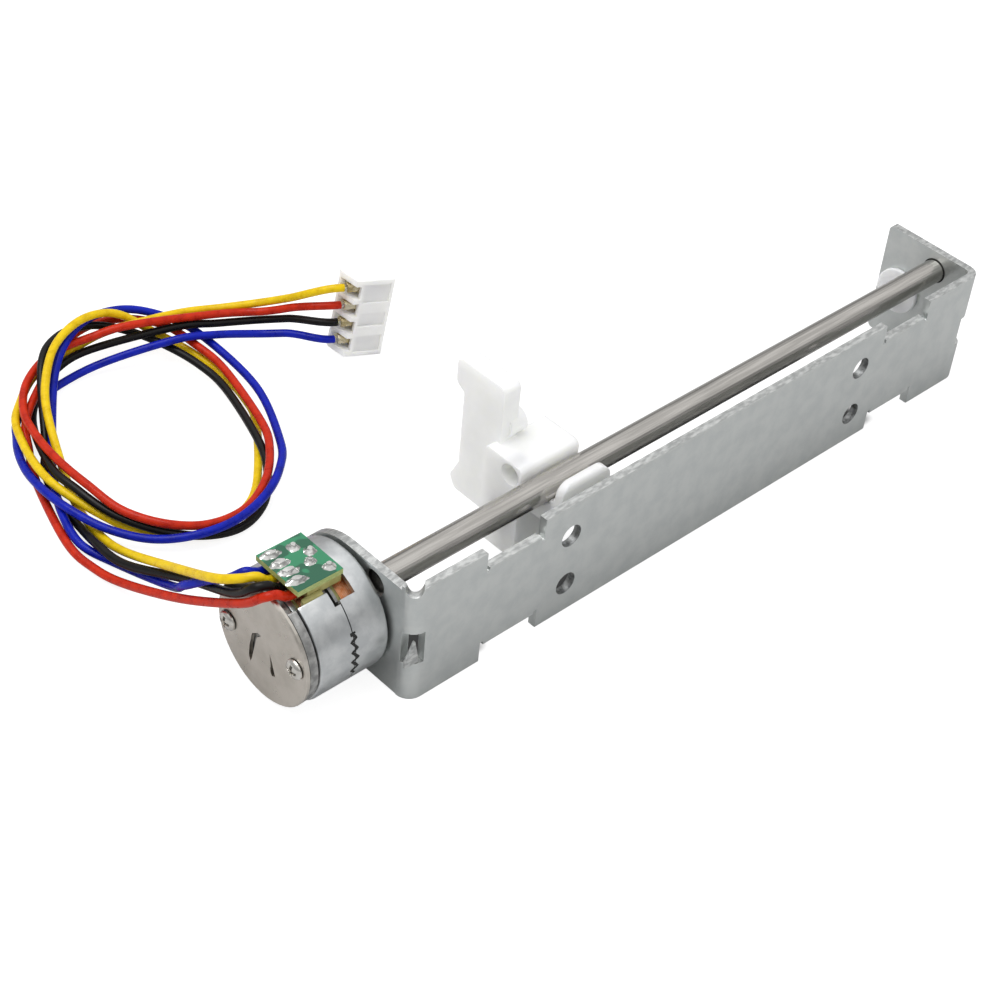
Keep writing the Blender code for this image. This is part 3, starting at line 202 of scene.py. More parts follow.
# %% Routes, in millimetres
WIRE_DIAMETER = 1.0 * MM
ROUTES = {
    "yellow": (
        (-54, 11.4, 6.8), (-55.2, 11.4, 6.85), (-55.9, 11.45, 7.3), (-56.6, 11.8, 7.85),
        (-57.8, 13, 7.4), (-58.7, 16, 5.8), (-57.5, 25, 0.1), (-56.6, 34.1, -5.1),
        (-56.3, 39, -6.7), (-55.7, 44.1, -6.9), (-54.27, 48.87, -6.39), (-50.67, 57.88, -4.19),
        (-48, 62.1, -2.8), (-44.3, 65.4, -1.4), (-39.6, 66.78, -0.67), (-34.83, 66.81, -1.96),
        (-31.09, 64.62, -4.99), (-28.9, 60.2, -6.31), (-28.2, 55, -6.8), (-28.8, 49.7, -6.9),
        (-30.7, 44.8, -6.9), (-37.2, 36.4, -6.9), (-41.5, 33.5, -6.9), (-46.2, 32.9, -6.9),
        (-50.3, 35.2, -6.9), (-53.4, 39.4, -6.7), (-56.63, 48.7, -4.75), (-54.12, 58.97, -5.42),
        (-50.9, 63.26, -5.49), (-46.6, 66.4, -5.3), (-41.79, 67.58, -5.39), (-37.19, 66.55, -3.74),
        (-32.37, 64.39, -2.7), (-27.29, 63.22, -2.91), (-22.8, 60.9, -2.8), (-18.6, 57.3, -1.6),
        (-16.86, 51.38, 2.19), (-14.87, 50.3, 2.68), (-13.57, 49.82, 2.49),
    ),
    "red": (
        (-54, 8.5, 6.75), (-55.2, 8.5, 6.8), (-55.9, 8.5, 7.25), (-56.6, 8.6, 7.75),
        (-57.7, 9.4, 7.4), (-58.22, 12.46, 4.65), (-58.71, 21.29, -1.05), (-59.2, 30.7, -5.7),
        (-59.75, 35.8, -6.83), (-59.67, 41.11, -6.94), (-56.72, 51.3, -6.91), (-54.5, 56.15, -6.48),
        (-51.71, 60.55, -5.3), (-43.3, 66.7, -4.21), (-38.5, 68.6, -3.71), (-33.41, 67.79, -3.94),
        (-29.72, 64.27, -4.44), (-28.4, 59.3, -5.2), (-28.4, 53.8, -5.5), (-31.2, 43.3, -5.2),
        (-33.7, 38.5, -4.9), (-37.3, 34.7, -5.3), (-41.9, 32.6, -5.7), (-46.9, 32.7, -5.3),
        (-51, 35.1, -4.6), (-53.6, 39.4, -4.2), (-54.4, 44.6, -3.7), (-54.5, 49.9, -3.8),
        (-53.8, 55.2, -4.19), (-52.31, 60.3, -4.4), (-49.2, 64.3, -4.07), (-44.6, 66.3, -3.33),
        (-39.5, 65.8, -2.91), (-34.53, 64.12, -2.21), (-24.5, 60.47, -2.85), (-19.4, 57, -2.6),
        (-16.62, 51.62, 0.38), (-15.2, 50.41, 0.21), (-13.9, 49.93, 0.01),
    ),
    "black": (
        (-54, 9.95, 6.8), (-55.2, 9.95, 6.85), (-55.9, 9.95, 7.35), (-56.6, 10, 7.95),
        (-57.7, 10.9, 7.6), (-57.87, 14.05, 4.71), (-56.95, 22.83, -0.45), (-58, 32.2, -4.69),
        (-58.09, 37.2, -5.56), (-57.2, 42.2, -6.77), (-56.51, 47.3, -6.95), (-54.93, 52.31, -6.89),
        (-51.99, 56.65, -6.7), (-47.04, 64.48, -2.91), (-43, 67.4, -2.26), (-38, 67.9, -2.99),
        (-33.9, 65.9, -4.4), (-31.2, 61.8, -5.4), (-30, 56.7, -5.8), (-30.1, 51.4, -6.1),
        (-33.2, 41.3, -5.7), (-35.5, 36.6, -6.2), (-39, 32.9, -6.8), (-43.6, 31.3, -6.7),
        (-48.2, 32.6, -6.2), (-51.8, 36.2, -5.7), (-54.2, 40.8, -5.2), (-55.37, 45.6, -4.35),
        (-55.27, 50.44, -4.58), (-51.42, 60.06, -6.65), (-48.1, 63.68, -5.77), (-44, 66.14, -5.7),
        (-39.2, 66.03, -4.91), (-29.5, 62.2, -3.62), (-24.5, 60.3, -4.12), (-19.4, 57.2, -4),
        (-16.53, 51.66, -1.8), (-15.53, 50.52, -2.27), (-14.23, 50.04, -2.46),
    ),
    "blue": (
        (-54, 13.1, 6.6), (-55.1, 13.1, 6.65), (-55.9, 13.2, 7), (-56.7, 13.6, 7.2),
        (-57.6, 15.1, 5.7), (-57.64, 18.1, 3.35), (-58.38, 21.26, 0.69), (-57.31, 25.2, -2.95),
        (-57.49, 34.9, -6.72), (-58.85, 39.79, -6.57), (-57.77, 44.89, -6.03), (-55.5, 49.71, -5.88),
        (-52.71, 54.21, -6.23), (-46.67, 62.58, -4.08), (-42.9, 65.7, -2.21), (-38.1, 67.76, -1.84),
        (-32.89, 67.49, -2.55), (-28.8, 64.5, -3.88), (-26.7, 60, -5.2), (-27.2, 49.3, -5.8),
        (-31.4, 39.5, -5.5), (-34.7, 35.3, -5), (-39, 32.4, -4.9), (-44.1, 31.2, -5.1),
        (-49, 32.1, -5.3), (-52.8, 35.1, -5.9), (-55.8, 39.2, -5.6), (-57.6, 43.9, -4.9),
        (-57.7, 49, -5.3), (-56.61, 54.11, -6.19), (-54.31, 59.01, -6.8), (-50.71, 63.05, -6.95),
        (-40.81, 64.62, -6.37), (-31.1, 60.9, -4.2), (-26.3, 58.8, -4.2), (-20.8, 56.3, -5),
        (-16.49, 51.64, -4.09), (-15.86, 50.62, -4.74), (-14.56, 50.15, -4.94),
    ),
}


EASED_POINTS = 22


def smooth_path(points, steps=8):
    """A Catmull-Rom curve through the points."""
    given = [Vector(point) * MM for point in points]
    given = [2 * given[0] - given[1]] + given + [2 * given[-1] - given[-2]]
    path = []
    for a, b, c, d in zip(given, given[1:], given[2:], given[3:]):
        for step in range(steps):
            t = step / steps
            path.append(0.5 * (2 * b + (c - a) * t + (2 * a - 5 * b + 4 * c - d) * t * t
                               + (3 * b - a - 3 * c + d) * t * t * t))
    path.append(given[-2])
    return path


def eased_end(path, count=EASED_POINTS):
    """The last stretch as one even bend into the crimp."""
    start, end = path[-count], path[-1]
    reach = (end - start).length / 3
    near = start + (start - path[-count - 1]).normalized() * reach
    far = end - (end - path[-4]).normalized() * reach
    eased = []
    for step in range(1, count):
        t = step / (count - 1)
        eased.append(start * (1 - t) ** 3 + near * 3 * t * (1 - t) ** 2
                     + far * 3 * t * t * (1 - t) + end * t ** 3)
    return path[:-count + 1] + eased


def path_length(path):
    return sum((after - before).length for before, after in zip(path, path[1:]))


# %% [markdown]
# ### Soft PVC jackets
# The jackets are soft PVC with a satin shine and tiny unevenness along the wire. A clear
# coat would give each wire a tight line of light, brighter than the real one's, so the
# shine comes from the base alone, with a low specular level, and a fine noise bump breaks
# it up.

# %% Wire jackets and the four wires
def jacket(colour_name, colour, shade):
    made = finish(f"{colour_name}_jacket", colour, 0.3, Specular_IOR_Level=0.2)
    grain = speckle(made, 1.2 * MM, detail=2.0)
    colour_from(made, grain, shade, colour, 0.3, 0.6)
    roughness_from(made, grain, 0.24, 0.38)
    bumped(made, speckle(made, 0.35 * MM), 0.02 * MM, 0.4)
    return made


JACKETS = {
    "yellow": jacket("yellow", (0.80, 0.56, 0.006), (0.66, 0.43, 0.004)),
    "red": jacket("red", (0.54, 0.024, 0.004), (0.40, 0.014, 0.003)),
    "black": jacket("black", (0.007, 0.006, 0.006), (0.004, 0.004, 0.004)),
    "blue": jacket("blue", (0.002, 0.012, 0.38), (0.001, 0.007, 0.26)),
}
for colour_name, points in ROUTES.items():
    path = eased_end(smooth_path(points))
    curve = bpy.data.curves.new(f"{colour_name}_wire", "CURVE")
    curve.dimensions = "3D"
    curve.bevel_depth = WIRE_DIAMETER / 2
    curve.bevel_resolution = 4
    curve.use_fill_caps = True
    spline = curve.splines.new("POLY")
    spline.points.add(len(path) - 1)
    for point, place in zip(spline.points, path):
        point.co = (*place, 1.0)
    curve.materials.append(JACKETS[colour_name])
    wire = bpy.data.objects.new(f"{colour_name}_wire", curve)
    bpy.context.scene.collection.objects.link(wire)
    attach(wire, "frame")
    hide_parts(f"wire_{colour_name}")
    print(colour_name, "wire is", round(path_length(path) * 1000, 1), "mm long")

# %% [markdown]
# ## Mesh tools for this object
# Most pieces of the slide are turned, folded or moulded. A few helpers cover them: one
# turns a profile round the screw's axis, one lays a skin over rings of points, and one
# takes a CAD piece and gives its sharp edges the small round that tooling and plating
# leave. A modifier could add that round at render time; here it is applied in mesh code,
# so it is part of the mesh itself.

# %% Shared places, read from the frame
SCREW_Y = (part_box("lead_screw")[0].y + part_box("lead_screw")[1].y) / 2
FLOOR_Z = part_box("bracket")[0].z
print("screw axis at y =", round(SCREW_Y / MM, 2), "mm, floor at z =", round(FLOOR_Z / MM, 2), "mm")

# %% Mesh pieces
def link(name, bm, material, body, angle=35):
    """A mesh piece from a bmesh, riding on a CAD body."""
    mesh = bpy.data.meshes.new(name)
    bm.to_mesh(mesh)
    bm.free()
    mesh.shade_smooth()
    mesh.set_sharp_from_angle(angle=math.radians(angle))
    for entry in material if isinstance(material, (list, tuple)) else (material,):
        mesh.materials.append(entry)
    made = bpy.data.objects.new(name, mesh)
    bpy.context.scene.collection.objects.link(made)
    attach(made, body)
    return made


def turned(profile, steps=64, centre=(0, SCREW_Y, 0)):
    """A closed profile of (x, radius) turned round a line along X."""
    bm = bmesh.new()
    verts = [bm.verts.new((x, 0, radius)) for x, radius in profile]
    pairs = list(zip(verts, verts[1:]))
    if profile[0][1] or profile[-1][1]:
        pairs.append((verts[-1], verts[0]))
    edges = [bm.edges.new(pair) for pair in pairs]
    bmesh.ops.spin(bm, geom=verts + edges, cent=(0, 0, 0), axis=(1, 0, 0), angle=math.tau,
                   steps=steps)
    bmesh.ops.remove_doubles(bm, verts=bm.verts, dist=MM / 10000)
    bmesh.ops.translate(bm, verts=bm.verts, vec=centre)
    bmesh.ops.recalc_face_normals(bm, faces=bm.faces)
    return bm


def skinned(rings):
    """A closed skin over rings of points, with a cap at each end."""
    bm = bmesh.new()
    rows = [[bm.verts.new(point) for point in ring] for ring in rings]
    for before, after in zip(rows, rows[1:]):
        for k in range(len(before)):
            nearest = (k + 1) % len(before)
            bm.faces.new((before[k], before[nearest], after[nearest], after[k]))
    bm.faces.new(rows[0][::-1])
    bm.faces.new(rows[-1])
    bmesh.ops.recalc_face_normals(bm, faces=bm.faces)
    return bm


# %% CAD pieces, dressed
def repaint(node, material):
    """A finish for a CAD piece whose shape stays as it is."""
    nodes[node].data.materials.clear()
    nodes[node].data.materials.append(material)


def solid_of(node):
    """The CAD piece's mesh as a clean bmesh, with its flat faces whole again."""
    bm = bmesh.new()
    bm.from_mesh(nodes[node].data)
    bmesh.ops.remove_doubles(bm, verts=bm.verts, dist=MM / 2000)
    bmesh.ops.dissolve_limit(bm, angle_limit=math.radians(1), verts=bm.verts, edges=bm.edges)
    return bm


SHARP_EDGE = math.radians(30)


def soften(bm, width, segments=2):
    """Rounds the sharp edges."""
    sharp = [edge for edge in bm.edges if edge.is_manifold and edge.calc_face_angle() > SHARP_EDGE]
    bmesh.ops.bevel(bm, geom=sharp, offset=width, segments=segments, profile=0.5,
                    affect="EDGES", clamp_overlap=True)
    return bm


def dress(node, material, body, width, segments=2):
    """The CAD piece with softened edges, in place of the plain one."""
    made = link(f"{node}_dressed", soften(solid_of(node), width, segments), material, body)
    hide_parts(node)
    even = made.modifiers.new("even normals", "WEIGHTED_NORMAL")
    even.keep_sharp = True
    return made


# %% [markdown]
# ## Zinc-plated steel
# The bracket and the two motor cans are zinc plated: a cool light grey with a faint
# cloudiness, finely pitted, with soft reflections. Three noises do it. A large one moves
# the colour a little, one of half its grain moves the roughness, and a fine one gives the
# skin of the plating. The nickel, the solder and the dull plates are the same with other
# colours and grains, so one function makes them all.

# %% Plated metals
def plated(name, dark, light, rough_low, rough_high, grain=2.2 * MM, pits=0.3):
    made = finish(name, light, (rough_low + rough_high) / 2, 1.0)
    clouds = speckle(made, grain, detail=6.0)
    colour_from(made, clouds, dark, light, 0.38, 0.60)
    roughness_from(made, speckle(made, grain / 2, detail=4.0), rough_low, rough_high)
    bumped(made, speckle(made, 0.22 * MM, detail=2.0), 0.012 * MM, pits)
    return made


ZINC_SHEET = plated("zinc_sheet", (0.63, 0.655, 0.65), (0.70, 0.72, 0.71), 0.38, 0.46)
ZINC_CAN = plated("zinc_can", (0.57, 0.59, 0.60), (0.72, 0.735, 0.74), 0.30, 0.44)
ROUGH_PLATE = plated("rough_plate", (0.30, 0.30, 0.295), (0.52, 0.52, 0.51), 0.42, 0.62,
                     0.9 * MM, 0.8)
NICKEL = plated("nickel_cover", (0.56, 0.525, 0.47), (0.655, 0.615, 0.56), 0.26, 0.36,
                3 * MM, 0.15)
BRIGHT = plated("bright_screw", (0.62, 0.60, 0.56), (0.80, 0.78, 0.74), 0.16, 0.3)

# %% [markdown]
# ### Cut edges, gaps and ground bars
# A shear or a punch leaves two looks: a bright burnished land and dull torn streaks. The
# wall of a punched hole is rougher, and its darker colour is painted shade, as it sees little
# light. A gap between two pieces sees none, so its near-black finish is painted shade too. A
# ground bar has faint streaks along its length, which come from a noise stretched twenty times along
# X.

# %% Sheared, punched and ground steel
def sheared_edge():
    made = finish("sheared_edge", (0.66, 0.67, 0.665), 0.4, 1.0)
    tears = speckle(made, 0.4 * MM, stretch=(0.4, 1.0, 1.0), detail=3.0)
    colour_from(made, tears, (0.42, 0.43, 0.425), (0.68, 0.69, 0.68), 0.38, 0.62)
    roughness_from(made, tears, 0.34, 0.5)
    bumped(made, tears, 0.02 * MM, 0.5)
    return made


EDGE = sheared_edge()
# Hole walls: rougher plating, with a darker colour that is painted shade
HOLE_WALL_SHADE = plated("punched_wall_painted_shade", (0.16, 0.165, 0.165), (0.40, 0.41, 0.41), 0.4, 0.6,
                   0.6 * MM, 0.8)
# Near-black painted shade, for gaps and nicks that get no light
SHADOW_GAP = finish("shadow_gap", (0.012, 0.012, 0.012), 0.7)


def ground_steel():
    made = finish("ground_steel", (0.50, 0.48, 0.455), 0.2, 1.0)
    streaks = speckle(made, 0.4 * MM, stretch=(0.05, 1, 1), detail=2.0)
    colour_from(made, streaks, (0.42, 0.405, 0.38), (0.56, 0.54, 0.51))
    roughness_from(made, streaks, 0.14, 0.26)
    return made


GROUND = ground_steel()
METALS = (ZINC_SHEET, ZINC_CAN, ROUGH_PLATE, NICKEL, BRIGHT, EDGE, HOLE_WALL_SHADE, GROUND)
print("metals:", ", ".join(made.name for made in METALS))

# %% [markdown]
# ## The folded bracket
# One sheet is blanked, bent at both ends and plated. Its CAD shape is right already. What
# it lacks is the small round that tumbling leaves on every sheared edge, which is what
# catches the light along the notches. The faces that a tool cut get finishes of their own.
# They could be picked by hand in edit mode, but a rule finds them in every run: a hole's
# wall is close to a hole's axis, and a sheared edge faces up, down, or out of a flange's
# tip.

# %% Bracket
bracket = dress("bracket", (ZINC_SHEET, EDGE, HOLE_WALL_SHADE), "frame", 0.1 * MM)
FAR_FLANGE_DEPTH = 13.6 * MM
FLANGE_TIPS = [round(corner.y, 4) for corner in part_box("bracket")] + [FAR_FLANGE_DEPTH]
TIP_REACH = 0.2 * MM
HOLES_ALONG, HOLES_UP = 47.75 * MM, 6.86 * MM
HOLE_PLACES = [(x * HOLES_ALONG / 2, z * HOLES_UP / 2) for x in (-1, 1) for z in (-1, 1)]
HOLE_REACH = 1.44 * MM


def in_a_hole(face):
    return abs(face.normal.y) < 0.6 and any(
        math.hypot(face.center.x - x, face.center.z - z) < HOLE_REACH for x, z in HOLE_PLACES)


def sheared(face):
    on_a_tip = any(abs(face.center.y - y) < TIP_REACH for y in FLANGE_TIPS)
    return abs(face.normal.z) > 0.5 or (face.normal.y > 0.9 and on_a_tip)


for face in bracket.data.polygons:
    if in_a_hole(face):
        # Hole walls get the wall finish whose dark colour is painted shade
        face.material_index = 2
    elif sheared(face):
        face.material_index = 1
kinds = [face.material_index for face in bracket.data.polygons]
print("faces of the bracket: sheet", kinds.count(0), "sheared", kinds.count(1),
      "in holes", kinds.count(2))

# %% [markdown]
# ### What the press tool left
# The punch that opened the window at the near bend didn't cut clean: a torn sliver of
# sheet still stands in the opening. It is a small plate with a few corners, leaning in:
# its y grows with the height above its foot.

# %% Torn sliver in the bend window
# Corners as (x, z), and the y of the two faces at the foot, in millimetres
SLIVER = ((-46.6, -2.3), (-44.8, -2.3), (-44.8, -1.3), (-45.0, 0.35), (-45.25, 0.1),
          (-46.0, -0.95), (-46.5, -1.45))
SLIVER_FACES = (0.15, 0.55)
SLIVER_LEAN = 0.16
SLIVER_FOOT = min(z for _, z in SLIVER)
rings = [[(x * MM, (y + SLIVER_LEAN * (z - SLIVER_FOOT)) * MM, z * MM) for x, z in SLIVER]
         for y in SLIVER_FACES]
link("window_sliver", soften(skinned(rings), 0.06 * MM, 1), EDGE, "frame")
print("sliver stands", round(max(z for _, z in SLIVER) - SLIVER_FOOT, 2), "mm high in the window")

# %% [markdown]
# ## The guide rod
# The rod is plain ground steel and keeps its CAD shape. A dark line of shade shows round it where
# it enters the far flange. The gap in the CAD model is real but too narrow for that shade to
# show, so a thin ring of painted shade, in the near-black gap finish, is set into the flange's inner
# face round the rod.

# %% Guide rod and the gap round it
SHEET = 1.0 * MM
GAP_WIDTH = 0.14 * MM
RING_PROUD = 0.02 * MM
RING_DEPTH = 0.1 * MM
repaint("guide_rod", GROUND)
rod_low, rod_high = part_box("guide_rod")
rod_radius = (rod_high.z - rod_low.z) / 2
far_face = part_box("bracket")[1].x - SHEET
front, back = far_face - RING_PROUD, far_face + RING_DEPTH
inner, outer = rod_radius - RING_PROUD, rod_radius + GAP_WIDTH
ring = turned([(front, inner), (front, outer), (back, outer), (back, inner)], 48,
              (0, (rod_low.y + rod_high.y) / 2, (rod_low.z + rod_high.z) / 2))
# The ring is painted shade for the gap round the rod
link("rod_gap_painted_shade", ring, SHADOW_GAP, "frame")
print("rod is", round(2 * rod_radius / MM, 2), "mm thick, far flange at x =",
      round(far_face / MM, 2), "mm")

# %% [markdown]
# ## The lead screw
# The photograph doesn't show the thread, so this one is a guess: rolled, wide, flat-topped,
# and with the 3 mm lead by which the CAD model's joints turn. The CAD model has a plain
# shaft of the thread's outer diameter, so the thread is made here. Its section has four
# corners for each turn, carried along the helix, and the last corner of one turn joins the
# first corner of the next. A Screw modifier could make it too, but its ends would stay
# open; here they are pressed flat against the shoulders. A turned shaft carries the thread
# and the two journals.

# %% Thread
THREAD_LEAD = 3.0 * MM
THREAD_DEPTH = 0.36 * MM
THREAD_STEPS = 32
# Where on one turn the crest ends, and where the root begins and ends
CREST_END, ROOT_START, ROOT_END = 0.50, 0.64, 0.86
screw_low, screw_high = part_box("lead_screw")
CREST_RADIUS = (screw_high.z - screw_low.z) / 2
ROOT_RADIUS = CREST_RADIUS - THREAD_DEPTH
THREAD_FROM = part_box("front_bearing_bush")[1].x + 0.1 * MM
THREAD_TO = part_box("screw_end_bearing")[0].x - 0.1 * MM


def threaded_screw():
    corners = ((0.0, CREST_RADIUS), (CREST_END, CREST_RADIUS), (ROOT_START, ROOT_RADIUS),
               (ROOT_END, ROOT_RADIUS))
    bm = bmesh.new()
    turns = (THREAD_TO - THREAD_FROM) / THREAD_LEAD + 2
    count = math.ceil(turns * THREAD_STEPS)
    rows = []
    for step in range(count):
        angle = math.tau * step / THREAD_STEPS
        row = []
        for share, radius in corners:
            x = THREAD_FROM + (step / THREAD_STEPS + share - 1) * THREAD_LEAD
            x = min(max(x, THREAD_FROM), THREAD_TO)
            row.append(bm.verts.new((x, SCREW_Y + radius * math.sin(angle),
                                     radius * math.cos(angle))))
        rows.append(row)
    for step in range(count - 1):
        for k in range(3):
            bm.faces.new((rows[step][k], rows[step][k + 1], rows[step + 1][k + 1],
                          rows[step + 1][k]))
        if step + THREAD_STEPS + 1 < count:
            bm.faces.new((rows[step][3], rows[step + THREAD_STEPS][0],
                          rows[step + THREAD_STEPS + 1][0], rows[step + 1][3]))
    bmesh.ops.remove_doubles(bm, verts=bm.verts, dist=MM / 1000)
    bmesh.ops.recalc_face_normals(bm, faces=bm.faces)
    return bm


thread = link("lead_screw_thread", threaded_screw(), GROUND, "screw", 25)
print("thread turns:", round((THREAD_TO - THREAD_FROM) / THREAD_LEAD, 1))

# %% Shaft and journals
JOURNAL_RADIUS = 1.0 * MM
JOURNAL_CHAMFER = 0.2 * MM
shaft = [(screw_low.x, 0), (screw_low.x, JOURNAL_RADIUS - JOURNAL_CHAMFER),
         (screw_low.x + JOURNAL_CHAMFER, JOURNAL_RADIUS), (THREAD_FROM, JOURNAL_RADIUS),
         (THREAD_FROM, ROOT_RADIUS), (THREAD_TO, ROOT_RADIUS), (THREAD_TO, JOURNAL_RADIUS),
         (screw_high.x - JOURNAL_CHAMFER, JOURNAL_RADIUS),
         (screw_high.x, JOURNAL_RADIUS - JOURNAL_CHAMFER), (screw_high.x, 0)]
link("lead_screw_shaft", turned(shaft, 40), GROUND, "screw", 35)
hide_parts("lead_screw")
print("screw is", round((screw_high.x - screw_low.x) / MM, 1), "mm long")

# %% [markdown]
# ## Motor metalwork
# Two drawn cans meet at a fine seam. Behind them are a punched ring plate, which is the
# roughest metal here, and a nickel-plated end cover with two cross-head screws.

# %% Cans and ring plate
dress("motor_front_can", ZINC_CAN, "frame", 0.07 * MM)
dress("motor_rear_can", ZINC_CAN, "frame", 0.07 * MM)
dress("motor_ring_plate", ROUGH_PLATE, "frame", 0.06 * MM)

# %% [markdown]
# ### The cross in each screw head
# The recess is in the CAD piece already. What lets the eye read it as a cross is the shade
# down inside, which such a small hole gets little of in a bright studio. Its faces are
# found by their place, near the head's axis and below its face, and get a dark finish of painted
# shade.

# %% Cover screws
# Dark metal finish for the recess faces: painted shade, not the screw's own colour
PAINTED_RECESS_SHADE = finish("screw_recess_painted_shade", (0.10, 0.095, 0.09), 0.5, 1.0)
RECESS_REACH = 0.7 * MM
RECESS_FROM, RECESS_TO = 0.17 * MM, 0.58 * MM
for index in (1, 2):
    low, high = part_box(f"cover_screw_{index}")
    head_y, head_z = (low.y + high.y) / 2, (low.z + high.z) / 2
    screw_head = dress(f"cover_screw_{index}", (BRIGHT, PAINTED_RECESS_SHADE), "frame", 0.03 * MM)
    deep = 0
    for face in screw_head.data.polygons:
        off_axis = math.hypot(face.center.y - head_y, face.center.z - head_z)
        below = face.center.x - low.x
        if off_axis < RECESS_REACH and RECESS_FROM < below < RECESS_TO:
            face.material_index = 1
            deep += 1
    print("recess faces in screw", index, ":", deep)

# %% Bushes, pole plates, ball, hub and end cover
for node in ("front_bearing_bush", "rear_bearing_bush"):
    dress(node, NICKEL, "frame", 0.06 * MM)
for node, material in (("front_pole_plate", ROUGH_PLATE), ("rear_pole_plate", ROUGH_PLATE),
                       ("thrust_ball", BRIGHT), ("rotor_hub", NICKEL), ("end_cover", NICKEL)):
    repaint(node, material)

# %% [markdown]
# ### The staked seam
# The two cans are joined by a row of small stakes across their seam, and each stake leaves
# a nick that shade makes dark. A narrow ribbon of the near-black gap finish follows the nicks
# round the can as painted shade. It could be painted as a texture, but the can has no UV map,
# and a ribbon keeps its sharp corners. Noise makes the ribbon wider and narrower, and the first nick
# is the widest.

# %% Nicks on the seam
# Corners of the row: x in millimetres, and degrees round the can
NICKS = ((-50.95, 155.5), (-50.95, 157.5), (-50.62, 161), (-51.33, 163.5), (-50.66, 170.5),
         (-51.37, 173), (-50.6, 180), (-51.4, 182.5), (-50.5, 191), (-51.33, 194), (-50.55, 201))
NICK_STEPS = 6
NICK_HALF = 0.15 * MM
NICK_PROUD, NICK_SUNK = 0.012 * MM, 0.05 * MM
FIRST_NICK_STEPS = 7
CAN_RADIUS = 7.4 * MM


def nick_path():
    """Places (x, distance round the can) along the row."""
    path = []
    for (x, degrees), (next_x, next_degrees) in zip(NICKS, NICKS[1:]):
        for step in range(NICK_STEPS):
            t = step / NICK_STEPS
            path.append(((x + (next_x - x) * t) * MM,
                         math.radians(degrees + (next_degrees - degrees) * t) * CAN_RADIUS))
    return path


def nick_shade_ribbon():
    path = nick_path()
    rings = []
    for k, (x, along) in enumerate(path):
        before, after = path[max(k - 1, 0)], path[min(k + 1, len(path) - 1)]
        ahead = Vector((after[0] - before[0], after[1] - before[1])).normalized()
        half = NICK_HALF * (1 + 0.5 * noise.noise(Vector((x, along, 0)) * 2500))
        if k < FIRST_NICK_STEPS:
            half *= 2.0
        ring = []
        for side, rise in ((-1, -NICK_SUNK), (-1, NICK_PROUD), (1, NICK_PROUD), (1, -NICK_SUNK)):
            angle = (along + side * ahead.x * half) / CAN_RADIUS
            reach = CAN_RADIUS + rise
            ring.append((x - side * ahead.y * half, SCREW_Y + reach * math.cos(angle),
                         reach * math.sin(angle)))
        rings.append(ring)
    return skinned(rings)


# The ribbon is painted shade for the nicks, in the near-black gap finish
link("seam_nick_painted_shade", nick_shade_ribbon(), SHADOW_GAP, "frame", 30)
print("nicks cover", round(NICKS[-1][1] - NICKS[0][1]), "degrees of the seam")

# %% [markdown]
# ## Coils in the window
# The window under the circuit board shows the bobbin and its copper turns. The CAD
# winding is a plain ring. Its turns are made here as small round ridges in the turned
# profile, which is what a wound layer looks like from outside.

# %% Copper and bobbin plastic
def copper():
    made = finish("enamelled_copper", (0.92, 0.42, 0.20), 0.34, 1.0, Coat_Weight=0.5)
    grain = speckle(made, 0.6 * MM)
    colour_from(made, grain, (0.80, 0.30, 0.11), (0.98, 0.55, 0.32))
    return made


def bobbin_plastic():
    made = finish("bobbin_plastic", (0.42, 0.38, 0.13), 0.42, Subsurface_Weight=0.2)
    shader_of(made).inputs["Subsurface Radius"].default_value = (0.8 * MM, 0.6 * MM, 0.3 * MM)
    grain = speckle(made, 1.5 * MM)
    colour_from(made, grain, (0.34, 0.31, 0.10), (0.48, 0.44, 0.17))
    return made


COPPER = copper()
BOBBIN = bobbin_plastic()

# %% Windings
TURN_PITCH = 0.2 * MM
WINDING_DEPTH = 1.2 * MM
RIDGE_STEPS = 4


def wound(node):
    low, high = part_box(node)
    outer = (high.z - low.z) / 2
    inner = outer - WINDING_DEPTH
    count = round((high.x - low.x) / TURN_PITCH)
    half = (high.x - low.x) / count / 2
    profile = [(low.x, inner)]
    for index in range(count):
        middle = low.x + (index + 0.5) * (high.x - low.x) / count
        for step in range(RIDGE_STEPS + 1):
            angle = math.pi * step / RIDGE_STEPS
            profile.append((middle - half * math.cos(angle),
                            outer - half + half * math.sin(angle)))
    profile.append((high.x, inner))
    made = link(f"{node}_turns", turned(profile, 72), COPPER, "frame", 60)
    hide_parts(node)
    print(node, "has", count, "turns side by side")


for name in ("front_winding", "rear_winding"):
    wound(name)

# %% [markdown]
# ### Bobbins and their skirt
# The bobbins are moulded in a yellowish plastic that lets a little light in. A narrow bar
# of the same moulding, which the CAD model lacks, stands under the board's near edge in
# front of the terminal block. It has four corners, carried along X with the same skin
# helper as the sliver.

# %% Bobbins, terminal block and skirt
for name in ("front_bobbin", "rear_bobbin"):
    dress(name, BOBBIN, "frame", 0.05 * MM)
dress("terminal_block", BOBBIN, "frame", 0.12 * MM)
# Corners as (y, z), and the x of the two ends, in millimetres
SKIRT = ((6.86, 5.0), (7.42, 5.0), (7.42, 6.78), (6.86, 6.5))
SKIRT_ENDS = (-54.5, -51.95)
rings = [[(x * MM, y * MM, z * MM) for y, z in SKIRT] for x in SKIRT_ENDS]
link("bobbin_skirt", soften(skinned(rings), 0.12 * MM), BOBBIN, "frame")
print("skirt is", round(SKIRT_ENDS[1] - SKIRT_ENDS[0], 2), "mm long")

# %% Rotor magnet
repaint("rotor_magnet", finish("ferrite", (0.03, 0.03, 0.033), 0.5))

# %% [markdown]
# ## The circuit board
# A small glass-fibre board with green solder mask. Its sawn edges show the yellow-green
# laminate. The mask is glossy, a little darker over bare laminate than over copper.

